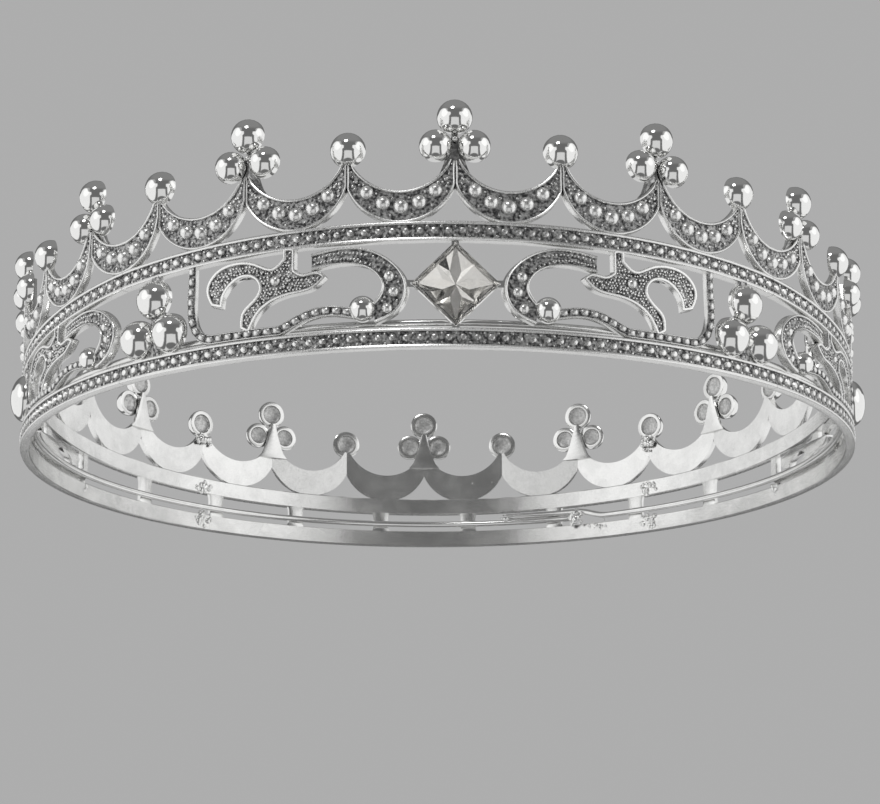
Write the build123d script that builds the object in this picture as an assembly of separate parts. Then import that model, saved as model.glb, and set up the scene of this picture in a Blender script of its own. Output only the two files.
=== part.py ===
from build123d import *
import os
from math import atan, cos, degrees, radians, sin, sqrt

# A rigid cast crown: two beaded bands with an ornamental gallery between them, twenty-eight
# crescents on top and half-ball domes on the crescents' tips.
# Origin: centre of the ring on its resting plane, +Z up, the stone faces -Y.
# Angles run round the ring from the front centre towards +X, in degrees.

# ---- ring and bands (mm) ----
RING_RADIUS = 80.0
BAND_THICKNESS = 1.8
BAND_HEIGHT = 3.4
BAND_RIM = 0.55
CHANNEL_DEPTH = 0.4
INNER_RADIUS = RING_RADIUS - BAND_THICKNESS

# ---- crescents and their spacing ----
CRESCENTS = 28
PITCH = 360.0 / CRESCENTS
CRESCENT_OUTER_RADIUS = 9.6
CRESCENT_INNER_RADIUS = 9.2
CRESCENT_DEPTH = 5.65
CRESCENT_SEAT = 0.2
CRESCENT_TIP_RISE = 10.6
CRESCENT_FRONT = 79.8
CRESCENT_THICKNESS = 1.5

# ---- height of the upper band's underside at the panel joints and between them ----
FRONT_GALLERY_TOP = 18.3
FRONT_JOINT_TOP = 16.8
SIDE_MIDDLE_TOP = 11.45
REAR_JOINT_TOP = 8.0
REAR_GALLERY_TOP = 7.3
FRONT_JOINT = 3.5 * PITCH
REAR_JOINT = 11 * PITCH
SIDE_MIDDLE = (FRONT_JOINT + REAR_JOINT) / 2

# ---- domes ----
TIP_DOME_RADIUS = 3.0
TIP_DOME_RISE_FRONT = 13.1
TIP_DOME_RISE_REAR = 12.4
TREFOIL_HALF_WIDTH = 3.2
TREFOIL_HEIGHT = 5.1
DOME_CENTRE_RADIUS = 79.5
DOME_BACK_SETBACK = 0.8
DOME_WALL = 0.8
WEB_WIDTH = 1.8
WEB_THICKNESS = 1.2
GRAIN_RADIUS = 0.6
SCROLL_DOME_RADIUS = 2.25
SCROLL_DOME_PLACE = 15.4
SCROLL_DOME_HEIGHT = 6.9
GALLERY_DOME_RADIUS = 3.35
GALLERY_TREFOIL_PLACE = 55.4
GALLERY_TREFOIL_HALF_WIDTH = 3.45
GALLERY_TREFOIL_RISE = 7.1
GALLERY_TREFOIL_HEIGHT = 6.1
SIDE_DOME_RADIUS = 4.1
SIDE_DOME_PLACE = 109.5

# ---- gallery ornaments ----
ORNAMENT_THICKNESS = 1.5
ORNAMENT_FRONT = 79.9
VINE_WIDTH = 1.5
MOTIF_SPACING = 56.6
MOTIFS_PER_SIDE = 3
STRUT_WIDTH = 3.3
STRUT_SPACING = 14.4
STRUT_THICKNESS = 1.2

# ---- stone and its collar ----
STONE_HALF_DIAGONAL = 7.2
STONE_HEIGHT = 11.0
STONE_TABLE_SIDE = 5.6
STONE_CULET_SIDE = 0.5
STONE_GIRDLE_RADIUS = 79.6
STONE_TABLE_RADIUS = 81.9
STONE_CULET_RADIUS = 76.8
COLLAR_HALF_DIAGONALS = (7.2, 5.4)
COLLAR_FRONT = 79.3
COLLAR_THICKNESS = 1.1
COLLAR_ARM_WIDTH = 1.2
COLLAR_ARM_REACH = 8.8

# ---- wire ring ----
WIRE_RADIUS = 0.65
WIRE_RING_RADIUS = INNER_RADIUS - WIRE_RADIUS - 0.01
WIRE_HEIGHT = 4.8
WIRE_LAP_RISE = 1.35
WIRE_START = 154.3
WIRE_CLIMB = (149.0, 154.0)
WIRE_LAP_END = 166.9

# ---- sizes larger than the crown, for cutting tools ----
BEYOND = 260.0
ABOVE = 60.0


# ---------------------------------------------------------------- places on the wall

def wall_point(angle, height, radius=RING_RADIUS):
    """A point at an angle round the ring."""
    turn = radians(angle)
    return Vector(radius * sin(turn), -radius * cos(turn), height)


def radial_plane(angle):
    """A plane through the ring's axis: x points outward, y up."""
    turn = radians(angle)
    return Plane((0, 0, 0), x_dir=(sin(turn), -cos(turn), 0), z_dir=(-cos(turn), -sin(turn), 0))


def tangent_plane(angle, radius=RING_RADIUS, height=0.0):
    """A plane that touches the wall: x runs along the ring, y up, z outward."""
    turn = radians(angle)
    origin = wall_point(angle, height, radius)
    return Plane(origin, x_dir=(cos(turn), sin(turn), 0), z_dir=(sin(turn), -cos(turn), 0))


def angle_of(length):
    """The angle that a length along the wall spans."""
    return degrees(length / RING_RADIUS)


def blend(angle, front, rear):
    """A value that changes smoothly from the front of the ring to its rear."""
    return rear + (front - rear) * (1 + cos(radians(angle))) / 2


# ---------------------------------------------------------------- panels

PANELS = {
    "front": [(-FRONT_JOINT, FRONT_JOINT_TOP), (0.0, FRONT_GALLERY_TOP), (FRONT_JOINT, FRONT_JOINT_TOP)],
    "right": [(FRONT_JOINT, FRONT_JOINT_TOP), (SIDE_MIDDLE, SIDE_MIDDLE_TOP), (REAR_JOINT, REAR_JOINT_TOP)],
    "rear": [(REAR_JOINT, REAR_JOINT_TOP), (180.0, REAR_GALLERY_TOP), (360 - REAR_JOINT, REAR_JOINT_TOP)],
    "left": [(360 - REAR_JOINT, REAR_JOINT_TOP), (360 - SIDE_MIDDLE, SIDE_MIDDLE_TOP),
             (360 - FRONT_JOINT, FRONT_JOINT_TOP)],
}


def panel_at(angle):
    """The panel that an angle falls in."""
    turn = angle % 360
    if turn <= FRONT_JOINT or turn >= 360 - FRONT_JOINT:
        return "front"
    if turn < REAR_JOINT:
        return "right"
    return "rear" if turn <= 360 - REAR_JOINT else "left"


def slope_plane(panel):
    """The tilted plane that the upper band's underside follows on one panel."""
    first, middle, last = [wall_point(angle, height) for angle, height in PANELS[panel]]
    normal = (middle - first).cross(last - first)
    if normal.Z < 0:
        normal = -normal
    return Plane(first, z_dir=normal)


def gallery_top(angle):
    """Height of the upper band's underside at an angle."""
    plane = slope_plane(panel_at(angle))
    place = wall_point(angle, 0.0)
    reach = place - plane.origin
    normal = plane.z_dir
    return plane.origin.Z - (normal.X * reach.X + normal.Y * reach.Y) / normal.Z


def crown_edge(angle):
    """Height of the upper band's top edge, which the crescents stand on."""
    return gallery_top(angle) + BAND_HEIGHT


def edge_tilt(angle):
    """How far the upper band leans along the ring, in degrees."""
    rise = crown_edge(angle + 2) - crown_edge(angle - 2)
    return degrees(atan(rise / (4 * radians(1) * RING_RADIUS)))


def sloping_slab(panel, offset, height):
    """Everything between the underside's plane, raised by offset, and a height above it."""
    plane = slope_plane(panel)
    sheet = Plane(plane.origin + Vector(0, 0, offset), z_dir=plane.z_dir) * Rectangle(2 * BEYOND, 2 * BEYOND)
    return extrude(sheet, amount=abs(height), dir=(0, 0, 1 if height > 0 else -1))


def ring_sector(inner, outer, low, high, start, arc):
    """Part of a flat ring of rectangular section."""
    section = radial_plane(start) * Pos((inner + outer) / 2, (low + high) / 2) * Rectangle(outer - inner, high - low)
    return revolve(section, Axis.Z, arc)


# ---------------------------------------------------------------- bands

def panel_span(panel):
    """Where a panel starts and how far it reaches round the ring."""
    start = PANELS[panel][0][0]
    return start, PANELS[panel][-1][0] - start


def lower_band(panel):
    """A strip with a shallow channel between two rims on its outer face."""
    start, arc = panel_span(panel)
    strip = ring_sector(INNER_RADIUS, RING_RADIUS, 0, BAND_HEIGHT, start, arc)
    channel = ring_sector(RING_RADIUS - CHANNEL_DEPTH, RING_RADIUS + 1,
                          BAND_RIM, BAND_HEIGHT - BAND_RIM, start, arc)
    return strip - channel


def upper_band(panel):
    """The same strip, following the gallery's slope."""
    start, arc = panel_span(panel)
    strip = ring_sector(INNER_RADIUS, RING_RADIUS, 0, ABOVE, start, arc)
    strip = strip & sloping_slab(panel, 0, BAND_HEIGHT)
    channel = ring_sector(RING_RADIUS - CHANNEL_DEPTH, RING_RADIUS + 1, 0, ABOVE, start, arc)
    channel = channel & sloping_slab(panel, BAND_RIM, BAND_HEIGHT - 2 * BAND_RIM)
    return strip - channel


# ---------------------------------------------------------------- domes

def ball(angle, across, height, radius, centre=DOME_CENTRE_RADIUS):
    """The full ball that a dome is part of, for cutting its neighbours back."""
    return tangent_plane(angle, centre) * Pos(across, height) * Sphere(radius)


def dome(angle, across, height, radius, centre=DOME_CENTRE_RADIUS):
    """A hollow polished half ball, a little more than a hemisphere, open at the back."""
    place = tangent_plane(angle, centre) * Pos(across, height)
    keep = Pos(0, 0, BEYOND / 2 - DOME_BACK_SETBACK) * Box(BEYOND, BEYOND, BEYOND)
    return place * ((Sphere(radius) & keep) - Sphere(radius - DOME_WALL))


def tip_is_trefoil(tip):
    return tip % 2 == 0


def tip_places(tip):
    """Across and height of each dome on a tip."""
    angle = tip * PITCH
    rise = crown_edge(angle) + blend(angle, TIP_DOME_RISE_FRONT, TIP_DOME_RISE_REAR)
    if not tip_is_trefoil(tip):
        return [(0.0, rise)]
    lower = [(side * TREFOIL_HALF_WIDTH, rise) for side in (-1, 1)]
    return lower + [(0.0, rise + TREFOIL_HEIGHT)]


def tip_balls(tip):
    return [ball(tip * PITCH, across, height, TIP_DOME_RADIUS) for across, height in tip_places(tip)]


def trefoil_web(tip):
    """The bar behind a trefoil that joins its domes to the crescents, with a grain at its centre."""
    angle = tip * PITCH
    low = crown_edge(angle) + CRESCENT_TIP_RISE
    top = tip_places(tip)[-1][1]
    centre = top - 2 * TREFOIL_HEIGHT / 3
    plane = tangent_plane(angle, DOME_CENTRE_RADIUS)
    bar = plane * Pos(0, (low + top) / 2, -WEB_THICKNESS / 6) * Box(WEB_WIDTH, top - low, WEB_THICKNESS)
    grain = plane * Pos(0, centre, GRAIN_RADIUS) * Sphere(GRAIN_RADIUS)
    web = bar + grain
    for tip_ball in tip_balls(tip):
        web = web - tip_ball
    return web


def tip_domes(first, last):
    """All the domes and webs on a run of tips."""
    pieces = []
    for tip in range(first, last + 1):
        for across, height in tip_places(tip):
            pieces.append(dome(tip * PITCH, across, height, TIP_DOME_RADIUS))
        if tip_is_trefoil(tip):
            pieces += trefoil_web(tip).solids()
    return pieces


# ---------------------------------------------------------------- crescents

def crescent(index, band):
    """A flat crescent that stands on the upper band and meets its neighbours at mitred tips."""
    angle = (index + 0.5) * PITCH
    outline = Pos(0, CRESCENT_OUTER_RADIUS - CRESCENT_SEAT) * Circle(CRESCENT_OUTER_RADIUS)
    outline -= Pos(0, CRESCENT_DEPTH - CRESCENT_SEAT + CRESCENT_INNER_RADIUS) * Circle(CRESCENT_INNER_RADIUS)
    outline -= Pos(0, CRESCENT_TIP_RISE + BEYOND / 2) * Rectangle(BEYOND, BEYOND)
    face = tangent_plane(angle, CRESCENT_FRONT, crown_edge(angle)) * Rot(0, 0, edge_tilt(angle)) * outline
    plate = extrude(face, amount=-CRESCENT_THICKNESS)
    plate = plate & ring_sector(1, BEYOND, 0, ABOVE, index * PITCH, PITCH)
    plate = plate - band
    for tip in (index, index + 1):
        neighbours = tip_balls(tip) + ([trefoil_web(tip)] if tip_is_trefoil(tip) else [])
        for neighbour in neighbours:
            plate = plate - neighbour
    return plate


# ---------------------------------------------------------------- gallery ornaments

def gallery_share(angle):
    """How tall the gallery is at an angle, as a share of its height at the front centre."""
    return (gallery_top(angle) - BAND_HEIGHT) / (FRONT_GALLERY_TOP - BAND_HEIGHT)


def gallery_height(place, height):
    """A height drawn for the front centre, brought down to the gallery's height at a place."""
    return BAND_HEIGHT + (height - BAND_HEIGHT) * gallery_share(angle_of(place))


class Motif:
    """One repeat of the ornament on one side: places are lengths along the wall from the stone."""

    def __init__(self, side, repeat):
        self.side = side
        self.start = repeat * MOTIF_SPACING
        self.centre = self.start + 27.5
        self.angle = side * angle_of(self.centre)

    def at(self, place, height, lowest=0.0):
        across = self.side * (self.start + place - self.centre)
        return across, max(lowest, gallery_height(self.start + place, height))

    def curve(self, *points):
        return Spline(*[self.at(*point) for point in points])

    def line(self, *points):
        return Polyline(*[self.at(*point) for point in points])

    def cast(self, outline, holding=0.0):
        """The outline as a curved plate in the wall, kept between the two bands."""
        angle = self.side * angle_of(self.start + holding)
        face = tangent_plane(self.angle) * outline
        block = extrude(face, amount=4, both=True)
        shell = ring_sector(ORNAMENT_FRONT - ORNAMENT_THICKNESS, ORNAMENT_FRONT, BAND_HEIGHT, ABOVE, 0, 360)
        return block & shell & sloping_slab(panel_at(angle), 0, -ABOVE)

    def scroll_dome_size(self):
        """Angle, offset, height and radius of the dome at the scroll's foot."""
        place = self.start + SCROLL_DOME_PLACE
        radius = SCROLL_DOME_RADIUS * sqrt(gallery_share(angle_of(place)))
        return self.side * angle_of(place), 0.0, gallery_height(place, SCROLL_DOME_HEIGHT), radius

    def c_scroll(self):
        outer = self.curve((24.1, 17.1), (20.0, 17.7), (16.0, 17.5), (11.4, 15.4),
                           (8.4, 10.8), (9.9, 6.4), (13.4, 4.5))
        foot = self.line((13.4, 4.5), (13.9, 7.4))
        inner = self.curve((13.9, 7.4), (12.1, 10.8), (14.0, 13.7), (17.5, 14.9), (21.0, 14.9), (24.1, 14.5))
        end = self.line((24.1, 14.5), (24.1, 17.1))
        return self.cast(make_face([outer, foot, inner, end]), 16.0) - ball(*self.scroll_dome_size())

    def leaf(self):
        spike = self.line((28.9, 18.9), (27.2, 18.9), (27.2, 14.6))
        tongue = self.curve((27.2, 14.6), (25.6, 13.7), (23.2, 13.9), (21.8, 13.0))
        under = self.curve((21.8, 13.0), (23.6, 11.4), (27.5, 10.6), (31.2, 9.6), (33.4, 8.0), (35.2, 5.0))
        heel = self.line((35.2, 5.0), (36.6, 5.8))
        inner = self.curve((36.6, 5.8), (36.3, 8.2), (34.3, 10.2), (33.2, 12.4), (34.2, 14.2),
                           (36.6, 14.8), (38.9, 13.6), (40.2, 11.6), (40.4, 10.0))
        hook = self.line((40.4, 10.0), (42.2, 10.6))
        outer = self.curve((42.2, 10.6), (43.2, 13.6), (41.6, 16.3), (38.0, 17.4), (34.0, 16.6),
                           (31.0, 15.4), (28.9, 16.9))
        neck = self.line((28.9, 16.9), (28.9, 18.9))
        return self.cast(make_face([spike, tongue, under, heel, inner, hook, outer, neck]), 28.0)

    def vine(self):
        """A beaded strip from the scroll dome, down onto the lower band and up again as a post."""
        lowest = BAND_HEIGHT + VINE_WIDTH / 2
        wave = [(16.4, 6.3), (20.0, 6.9), (23.6, 6.8), (27.0, 5.6), (30.5, 4.15), (36.0, 4.15),
                (41.5, 4.15), (44.6, 5.4), (46.2, 9.0), (46.3, 14.0), (46.3, 19.2)]
        path = Spline(*[self.at(place, height, lowest) for place, height in wave])
        strip = trace(path, line_width=VINE_WIDTH)
        return self.cast(strip, 46.3) - ball(*self.scroll_dome_size())


def gallery_trefoil(side):
    """Three large domes with short pegs to the bands and between them."""
    angle = side * angle_of(GALLERY_TREFOIL_PLACE)
    places = [(side_way * GALLERY_TREFOIL_HALF_WIDTH, GALLERY_TREFOIL_RISE) for side_way in (-1, 1)]
    places.append((0.0, GALLERY_TREFOIL_RISE + GALLERY_TREFOIL_HEIGHT))
    pieces = [dome(angle, across, height, GALLERY_DOME_RADIUS) for across, height in places]
    height = gallery_top(angle) + 1
    bar = tangent_plane(angle, DOME_CENTRE_RADIUS) * Pos(0, height / 2) * Box(WEB_WIDTH, height, WEB_THICKNESS)
    for across, _ in places[:2]:
        bar += tangent_plane(angle, DOME_CENTRE_RADIUS) * Pos(across, BAND_HEIGHT) * Box(WEB_WIDTH, 2, WEB_THICKNESS)
    bar = bar - Pos(0, 0, BAND_HEIGHT - BEYOND / 2) * Box(BEYOND, BEYOND, BEYOND)
    bar = bar & sloping_slab(panel_at(angle), 0, -ABOVE)
    for across, height in places:
        bar = bar - ball(angle, across, height, GALLERY_DOME_RADIUS)
    return pieces + bar.solids()


def side_dome(side):
    """One larger dome that fills the gallery where the crown is widest."""
    angle = side * angle_of(SIDE_DOME_PLACE)
    height = (BAND_HEIGHT + gallery_top(angle)) / 2
    return dome(angle, 0.0, height, SIDE_DOME_RADIUS)


def rear_strut(number):
    """A plain upright between the bands at the rear."""
    angle = 180 + number * STRUT_SPACING
    span = degrees(STRUT_WIDTH / RING_RADIUS)
    block = ring_sector(INNER_RADIUS, INNER_RADIUS + STRUT_THICKNESS, BAND_HEIGHT, ABOVE,
                        angle - span / 2, span)
    return block & sloping_slab(panel_at(angle), 0, -ABOVE)


# ---------------------------------------------------------------- stone

def diamond(half_diagonal):
    """A square standing on one corner."""
    return Rot(0, 0, 45) * Rectangle(half_diagonal * sqrt(2), half_diagonal * sqrt(2))


def stone_section(radius, half_diagonal):
    return tangent_plane(0, radius, STONE_HEIGHT) * diamond(half_diagonal)


def crystal():
    """A square stone with a bevelled crown, a flat table and a deep point behind."""
    girdle = stone_section(STONE_GIRDLE_RADIUS, STONE_HALF_DIAGONAL)
    table = stone_section(STONE_TABLE_RADIUS, STONE_TABLE_SIDE / sqrt(2))
    culet = stone_section(STONE_CULET_RADIUS, STONE_CULET_SIDE / sqrt(2))
    return loft([girdle, table], ruled=True) + loft([culet, girdle], ruled=True)


def crystal_setting(stone, scrolls):
    """A square collar behind the stone with arms to the two bands and the two scrolls."""
    outer, inner = COLLAR_HALF_DIAGONALS
    plane = tangent_plane(0, COLLAR_FRONT, STONE_HEIGHT)
    rows = Rectangle(2 * COLLAR_ARM_REACH, COLLAR_ARM_WIDTH) + Rectangle(COLLAR_ARM_WIDTH, 2 * COLLAR_ARM_REACH)
    outline = diamond(outer) + rows - diamond(inner)
    collar = extrude(plane * outline, amount=-COLLAR_THICKNESS)
    collar = collar - Pos(0, 0, BAND_HEIGHT - BEYOND / 2) * Box(BEYOND, BEYOND, BEYOND)
    collar = collar & sloping_slab("front", 0, -ABOVE)
    for neighbour in [stone] + scrolls:
        collar = collar - neighbour
    return collar


# ---------------------------------------------------------------- wire

def wire_arc(start, end, height):
    section = radial_plane(start) * Pos(WIRE_RING_RADIUS, height) * Circle(WIRE_RADIUS)
    return revolve(section, Axis.Z, end - start)


def inner_wire():
    """A round wire ring, open at the rear, where one end climbs and lies on top of the other."""
    climb_start, climb_end = WIRE_CLIMB
    lap_height = WIRE_HEIGHT + WIRE_LAP_RISE
    low = wall_point(climb_start, WIRE_HEIGHT, WIRE_RING_RADIUS)
    high = wall_point(climb_end, lap_height, WIRE_RING_RADIUS)
    run = high - low
    slope = Plane(low, z_dir=run) * extrude(Circle(WIRE_RADIUS), amount=run.length)
    ring = wire_arc(WIRE_START, 360 + climb_start, WIRE_HEIGHT)
    lap = wire_arc(climb_end, WIRE_LAP_END, lap_height)
    knees = [Pos(*end) * Sphere(WIRE_RADIUS) for end in (low, high)]
    return ring + knees[0] + slope + knees[1] + lap


# ---------------------------------------------------------------- assembly

nodes = {}
upper_bands = {panel: upper_band(panel) for panel in PANELS}
for panel in PANELS:
    nodes["lower_band_" + panel] = [lower_band(panel)]
    nodes["upper_band_" + panel] = [upper_bands[panel]]

for index in range(CRESCENTS):
    middle = (index + 0.5) * PITCH
    ends = {panel_at(middle - 1), panel_at(middle + 1)}
    band = upper_bands[ends.pop()]
    for panel in ends:
        band = band + upper_bands[panel]
    nodes[f"crescent_{index + 1:02d}"] = [crescent(index, band)]

for panel, first in (("front", -3), ("right", 4), ("rear", 11), ("left", 18)):
    nodes["tip_domes_" + panel] = tip_domes(first, first + 6)

scroll_domes = []
front_scrolls = []
for side, word in ((1, "right"), (-1, "left")):
    vines = []
    for repeat in range(MOTIFS_PER_SIDE):
        motif = Motif(side, repeat)
        vine = motif.vine()
        scroll = motif.c_scroll() - vine
        nodes[f"c_scroll_{word}_{repeat + 1}"] = [scroll]
        nodes[f"leaf_{word}_{repeat + 1}"] = [motif.leaf() - vine]
        scroll_domes.append(dome(*motif.scroll_dome_size()))
        vines.append(vine)
        if repeat == 0:
            front_scrolls.append(scroll)
    nodes["bead_vines_" + word] = vines

nodes["scroll_domes"] = scroll_domes
nodes["gallery_domes"] = gallery_trefoil(1) + gallery_trefoil(-1) + [side_dome(1), side_dome(-1)]
nodes["rear_struts"] = [rear_strut(number + 0.5) for number in range(-4, 4)]
nodes["crystal"] = [crystal()]
nodes["crystal_setting"] = [crystal_setting(nodes["crystal"][0], front_scrolls)]
nodes["inner_wire"] = [inner_wire()]

for name, pieces in nodes.items():
    solids = [solid for piece in pieces for solid in piece.solids()]
    body = solids[0] if len(solids) == 1 else Compound(children=solids)
    body.label = name
    export_step(body, f"parts/{name}.step")
    print(f"{name:22s} solids {len(solids):2d}  volume {sum(s.volume for s in solids):9.2f} mm3")
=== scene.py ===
import bpy
import numpy as np
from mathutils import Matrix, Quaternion, Vector
from mathutils.geometry import tessellate_polygon


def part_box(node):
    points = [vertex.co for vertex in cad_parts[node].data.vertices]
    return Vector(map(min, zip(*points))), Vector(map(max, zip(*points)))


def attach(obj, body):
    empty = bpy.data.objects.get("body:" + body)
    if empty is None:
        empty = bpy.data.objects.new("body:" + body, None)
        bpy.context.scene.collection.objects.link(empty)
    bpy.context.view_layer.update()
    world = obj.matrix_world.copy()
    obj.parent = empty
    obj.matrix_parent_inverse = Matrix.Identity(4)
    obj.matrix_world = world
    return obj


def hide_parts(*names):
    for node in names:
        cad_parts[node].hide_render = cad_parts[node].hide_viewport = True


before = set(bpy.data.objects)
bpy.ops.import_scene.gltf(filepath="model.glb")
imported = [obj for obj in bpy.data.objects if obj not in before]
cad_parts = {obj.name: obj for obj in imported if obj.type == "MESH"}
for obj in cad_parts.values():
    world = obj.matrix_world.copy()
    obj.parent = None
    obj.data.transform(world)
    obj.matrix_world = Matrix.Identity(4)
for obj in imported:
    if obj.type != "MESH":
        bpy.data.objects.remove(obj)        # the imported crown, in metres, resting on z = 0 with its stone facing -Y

bl_info = {
    "name": "Beaded Crown",
    "version": (1, 0, 0),
    "blender": (4, 5, 0),
    "location": "View3D > Sidebar > Crown",
    "description": "Builds a cast silver crown with beaded bands, crescents, domes and a "
                   "square stone",
    "category": "Add Mesh",
}

MM = 0.001
TURN = 2 * np.pi
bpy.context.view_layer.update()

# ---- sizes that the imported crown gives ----
FRONT_LOW, FRONT_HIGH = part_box("lower_band_front")
RING_RADIUS = -FRONT_LOW.y
BAND_HEIGHT = FRONT_HIGH.z - FRONT_LOW.z
FRONT_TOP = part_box("upper_band_front")[1].z - BAND_HEIGHT
FRONT_JOINT_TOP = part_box("upper_band_front")[0].z
REAR_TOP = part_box("upper_band_rear")[0].z
REAR_JOINT_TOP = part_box("upper_band_rear")[1].z - BAND_HEIGHT

# ---- how the ring is divided: angles run from the front towards the right ----
CRESCENTS = 28
PITCH = TURN / CRESCENTS
FRONT_JOINT, REAR_JOINT = 3.5 * PITCH, 11 * PITCH
PANELS = {"front": (-FRONT_JOINT, FRONT_JOINT), "right": (FRONT_JOINT, REAR_JOINT),
          "rear": (REAR_JOINT, TURN - REAR_JOINT), "left": (TURN - REAR_JOINT, TURN - FRONT_JOINT)}
FIRST_TIPS = (-3, 4, 11, 18)     # the first of each panel's seven tips
PANEL_TIPS = 7
SIDES = ((1, "right"), (-1, "left"))

# ---- first seed of each kind of piece; a piece's own number is added to it ----
BAND_SEED, CRESCENT_SEED, SCROLL_SEED, LEAF_SEED = 12, 107, 307, 407
WALL_SOLDER_SEED, WIRE_SOLDER_SEED = 507, 607

# ---- bands ----
JOINT_GAP = 0.0005               # angle left free at each end of a panel
BAND_STEP = 0.0175               # angle between sections
EDGE_ROUNDING = 0.16 * MM
GRAIN_OFFSET = 0.80 * MM         # of the grains from the middle of the channel

# ---- crescents: two circles, and beads in mm across and above the upper band's edge ----
CRESCENT_OUTER, CRESCENT_INNER = 9.6 * MM, 9.2 * MM
CRESCENT_DEPTH = 5.65 * MM       # from edge to edge in the middle
CRESCENT_SEAT = 0.2 * MM         # how far its foot sinks behind the band's edge
CRESCENT_REACH = 10.6 * MM       # height that its horns reach
CRESCENT_FRONT = RING_RADIUS - 0.1 * MM
CRESCENT_THICKNESS, CRESCENT_SUNK = 1.4 * MM, 0.36 * MM
MITRE_SETBACK, MITRE_GAP = 0.3 * MM, 0.03 * MM
CRESCENT_BEADS = ((-5.7, 5.3), (-3.0, 3.4), (0.0, 2.7), (3.0, 3.4), (5.7, 5.3))
BEAD_SHARES = np.array([0.95, 1, 1.04, 1, 0.95])
CRESCENT_GRAINS = (              # degrees round from the foot, and shares of the width
    ((-38, -23, -7.5, 7.5, 23, 38), (0.25, 0.78)),
    ((-44, -41), (0.36, 0.64)),
    ((44, 41), (0.36, 0.64)))
HORN_START, HORN_GRAINS = np.radians(46.0), 4

# ---- tips: height of a dome's centre above the band's edge, in mm ----
TIP_RISE = 12.4
FRONT_RISE = 0.7                 # more at the front, fading out at the rear
SIDE_DROP = 1.0                  # less towards the sides of the front half
LOW_TIPS, LOW_DROP = (4, CRESCENTS - 4), 0.8
TREFOIL_HALF, TREFOIL_RISE = 3.2 * MM, 5.1 * MM
DOME_CENTRE = RING_RADIUS - 0.5 * MM
DOME_WALL, DOME_BACK = 0.95 * MM, 0.2 * MM

# ---- the gallery motif, in mm: length along the wall from its start, height ----
MOTIFS = 3
MOTIF_SPACING, MOTIF_MIDDLE = 56.6 * MM, 27.5 * MM
SCROLL_OUTER = ((24.1, 17.1), (20.0, 17.7), (16.0, 17.5), (11.4, 15.4), (8.4, 10.8), (9.9, 6.4),
                (13.4, 4.5))
SCROLL_INNER = ((24.1, 14.5), (21.0, 14.9), (17.5, 14.9), (14.0, 13.7), (12.1, 10.8), (13.9, 7.4))
SCROLL_BEADS = ((11.2, 12.4), (10.5, 9.7), (11.5, 6.9))
SCROLL_KNOB = ((7.75, 11.0),)    # where the stone's arm meets the first scroll
SCROLL_STEPS = 70
SCROLL_GROWTH = (0.12 * MM, 0.26 * MM)
SCROLL_GRAINS = ((2, 26, 14, (0.34, 0.66)), (26, 62, 13, (0.27, 0.74)))  # steps, count, shares
LEAF_RUNS = (
    ((28.9, 18.6), (27.2, 18.6), (27.2, 14.6)),
    ((27.2, 14.6), (25.6, 13.7), (23.2, 13.9), (21.8, 13.0)),
    ((21.8, 13.0), (23.6, 11.4), (27.5, 10.6), (31.2, 9.6), (33.4, 8.0), (35.2, 4.8)),
    ((35.2, 4.8), (36.6, 5.6)),
    ((36.6, 5.6), (36.3, 8.2), (34.3, 10.2), (33.2, 12.4), (34.2, 14.2), (36.6, 14.8), (38.9, 13.6),
     (40.2, 11.6), (40.4, 10.0)),
    ((40.4, 10.0), (42.2, 10.6)),
    ((42.2, 10.6), (43.2, 13.6), (41.6, 16.3), (38.0, 17.4), (34.0, 16.6), (31.0, 15.4),
     (28.9, 16.9)),
    ((28.9, 16.9), (28.9, 18.6)),
)
LEAF_STRAIGHT = (0, 3, 5, 7)     # numbers of the straight runs
LEAF_STEPS = 221
LEAF_GROWTH = 0.2 * MM
LEAF_BEAD = ((30.5, 13.2),)
VINE_PATH = ((17.2, 6.4), (20.0, 6.9), (23.6, 6.8), (27.0, 5.6), (30.5, 4.15), (36.0, 4.15),
             (41.5, 4.15), (44.6, 5.4), (46.2, 9.0), (46.3, 14.0), (46.3, 18.6))
VINE_STEPS = 120
VINE_BEAD_PITCH = 1.72 * MM
ORNAMENT_THICKNESS = 1.5 * MM
SCROLL_SUNK, LEAF_SUNK, VINE_SUNK = 0.4 * MM, 0.38 * MM, 0.16 * MM

# ---- domes of the gallery ----
SCROLL_DOME_PLACE, SCROLL_DOME_HEIGHT = 15.4 * MM, 6.9 * MM
GALLERY_PLACE, SIDE_PLACE = 54.5, 109.5      # mm along the wall from the front
GALLERY_HALF, GALLERY_RISE, GALLERY_TALL = 3.62 * MM, 6.7 * MM, 6.5 * MM
SIDE_SQUEEZE = 0.62

# ---- rear struts ----
STRUTS, STRUT_SPACING = 8, np.radians(14.4)

# ---- stone: sixteen points on each ring, from the front of the girdle outward and back ----
STONE_HEIGHT = 11.0 * MM
STONE_GIRDLE = RING_RADIUS - 0.4 * MM
STONE_HALF = 7.2 * MM            # half of the diagonal
STONE_POINTS = 16
TABLE_HALVES, TABLE_RISE = (6.35, 5.9), 1.12 * MM
GIRDLE_FRONT, GIRDLE_BACK = 0.15 * MM, -0.12 * MM
PAVILION_DEPTH = 1.45 * MM
SHOULDER, SHOULDER_SPREAD = 2.2 * MM, 0.95 * MM
# foil facets and their recess values: painted dark reflections, fixed in the stone
PAINTED_REFLECTION_FACETS = {1: 0.2, 5: 0.3, 18: 0.75, 21: 1.3, 31: 0.4}

# ---- inner wire: where it starts, climbs, lands on its own start and ends ----
WIRE_START, WIRE_CLIMB, WIRE_LANDING, WIRE_END = np.radians([154.3, 509.0, 514.0, 526.9])
WIRE_HEIGHT, WIRE_LAP_RISE, WIRE_GAP = 4.8 * MM, 1.35 * MM, 0.01 * MM
WIRE_SEGMENTS, WIRE_END_SHARE = 12, 0.72

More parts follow.
